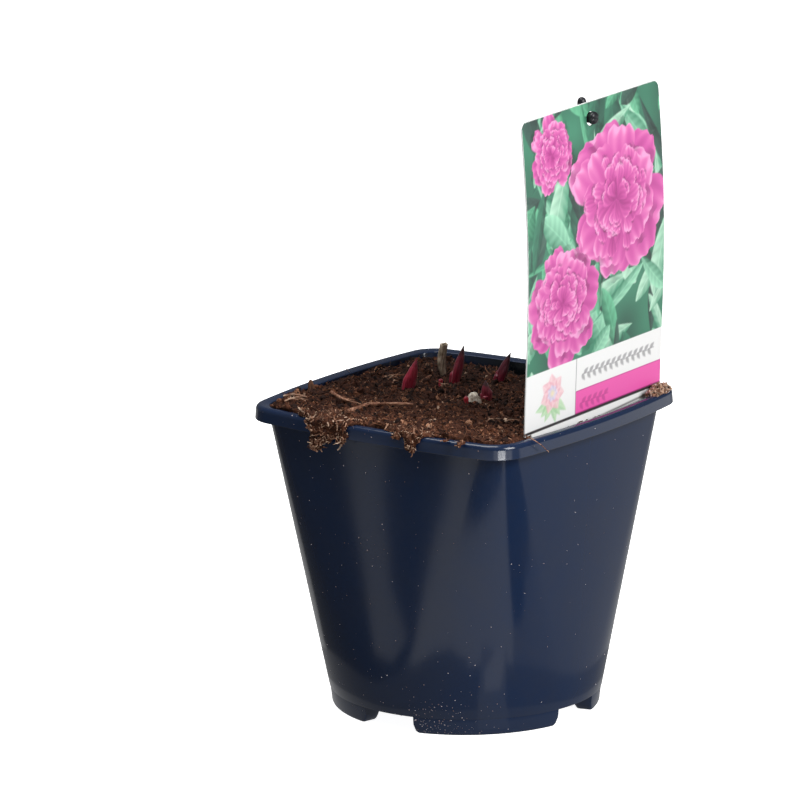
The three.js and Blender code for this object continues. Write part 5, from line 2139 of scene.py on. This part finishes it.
@dataclass
class Studio:
    """A white floor, soft light and the camera at the photograph's angle."""

    camera_at: Triple = (1.84316, -2.63069, 0.94672)
    forward: Triple = (-0.5654, 0.78956, -0.23857)
    azimuth: float = 35.606
    roll: float = -0.00533
    lens: float = 292.5
    sensor: float = 36
    sight: float = 100
    floor_reach_mm: float = 6000.0
    backdrop_reach_mm: float = 7200.0
    backdrop_low_mm: float = -900
    backdrop_high_mm: float = 9000.0
    floor_glow: float = 0.96
    backdrop_glow: float = 1.2
    world_glow: float = 0.16
    reflectors: tuple[Reflector, ...] = REFLECTORS

    def camera(self) -> None:
        """Sets the camera where the photograph was taken from."""
        data = bpy.data.cameras.new("camera")
        data.lens = self.lens
        data.sensor_width = self.sensor
        data.clip_end = self.sight
        data.dof.use_dof = False
        camera = bpy.data.objects.new("camera", data)
        turn = math.radians(self.azimuth)
        forward = Vector(self.forward).normalized()
        level = Vector((math.cos(turn), math.sin(turn), 0))
        above = level.cross(forward).normalized()
        right = level * math.cos(self.roll) + above * math.sin(self.roll)
        up = above * math.cos(self.roll) - level * math.sin(self.roll)
        pose = Matrix((right, up, -forward)).transposed().to_4x4()
        pose.translation = Vector(self.camera_at)
        camera.matrix_world = pose
        bpy.context.scene.collection.objects.link(camera)
        bpy.context.scene.camera = camera

    def softbox(self, name: str, at: tuple, towards: tuple, side: float, power: float) -> None:
        """Hangs one square light.

        Args:
            name: its name.
            at: its middle in metres.
            towards: the point that it faces.
            side: its width in metres.
            power: watts.
        """
        data = bpy.data.lights.new(name, "AREA")
        data.shape = "RECTANGLE"
        data.size, data.size_y = side, side
        data.energy = power
        light = bpy.data.objects.new(name, data)
        light.location = at
        light.rotation_euler = (Vector(towards) - Vector(at)).to_track_quat("-Z", "Y").to_euler()
        bpy.context.scene.collection.objects.link(light)

    def floor(self) -> None:
        """Lays the white floor and hangs the white backdrop, which only the camera sees."""
        corners = np.array([(-1, -1, 0), (1, -1, 0), (1, 1, 0), (-1, 1, 0)], float)
        floor = mesh_piece("studio_floor", corners * self.floor_reach_mm, [[0, 1, 2, 3]], smooth=False)
        floor.data.materials.append(StudioPaper("white paper sweep", self.floor_glow).make())
        walls = np.concatenate([corners * self.backdrop_reach_mm + (0, 0, z)
                                for z in (self.backdrop_low_mm, self.backdrop_high_mm)])
        sides = [[k, k + 4, (k + 1) % 4 + 4, (k + 1) % 4] for k in range(4)]
        backdrop = mesh_piece("studio_backdrop", walls, sides + [[4, 7, 6, 5]], smooth=False)
        backdrop.data.materials.append(StudioPaper("white studio backdrop", self.backdrop_glow).make())
        backdrop.visible_shadow = False
        for stage in (floor, backdrop):
            stage.visible_diffuse = False
            stage.visible_glossy = False

    def build(self) -> None:
        """Sets up the studio."""
        scene = bpy.context.scene
        scene.view_settings.view_transform = "Standard"
        world = bpy.data.worlds.new("white studio")
        world.use_nodes = True
        sky = world.node_tree.nodes["Background"].inputs
        sky["Color"].default_value = (1, 1, 1, 1)
        sky["Strength"].default_value = self.world_glow
        scene.world = world
        self.camera()
        self.floor()
        for reflector in self.reflectors:
            reflector.lay()
        self.softbox("key", (1.7, -0.25, 1.1), (0, 0, 0.15), 1.0, 38)
        self.softbox("top", (-0.4, -0.3, 2.0), (0, 0, 0.1), 1.2, 26)


def main() -> None:
    """Builds every piece in order."""
    logging.basicConfig(level=logging.INFO, format="%(name)s %(message)s")
    pot = NurseryPot()
    pot.build()
    soil = PottingSoil()
    soil.build(pot)
    Peony().build()
    Debris(soil).build()
    PictureLabel().build()
    Studio().build()
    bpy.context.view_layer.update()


if __name__ == "__main__":
    main()
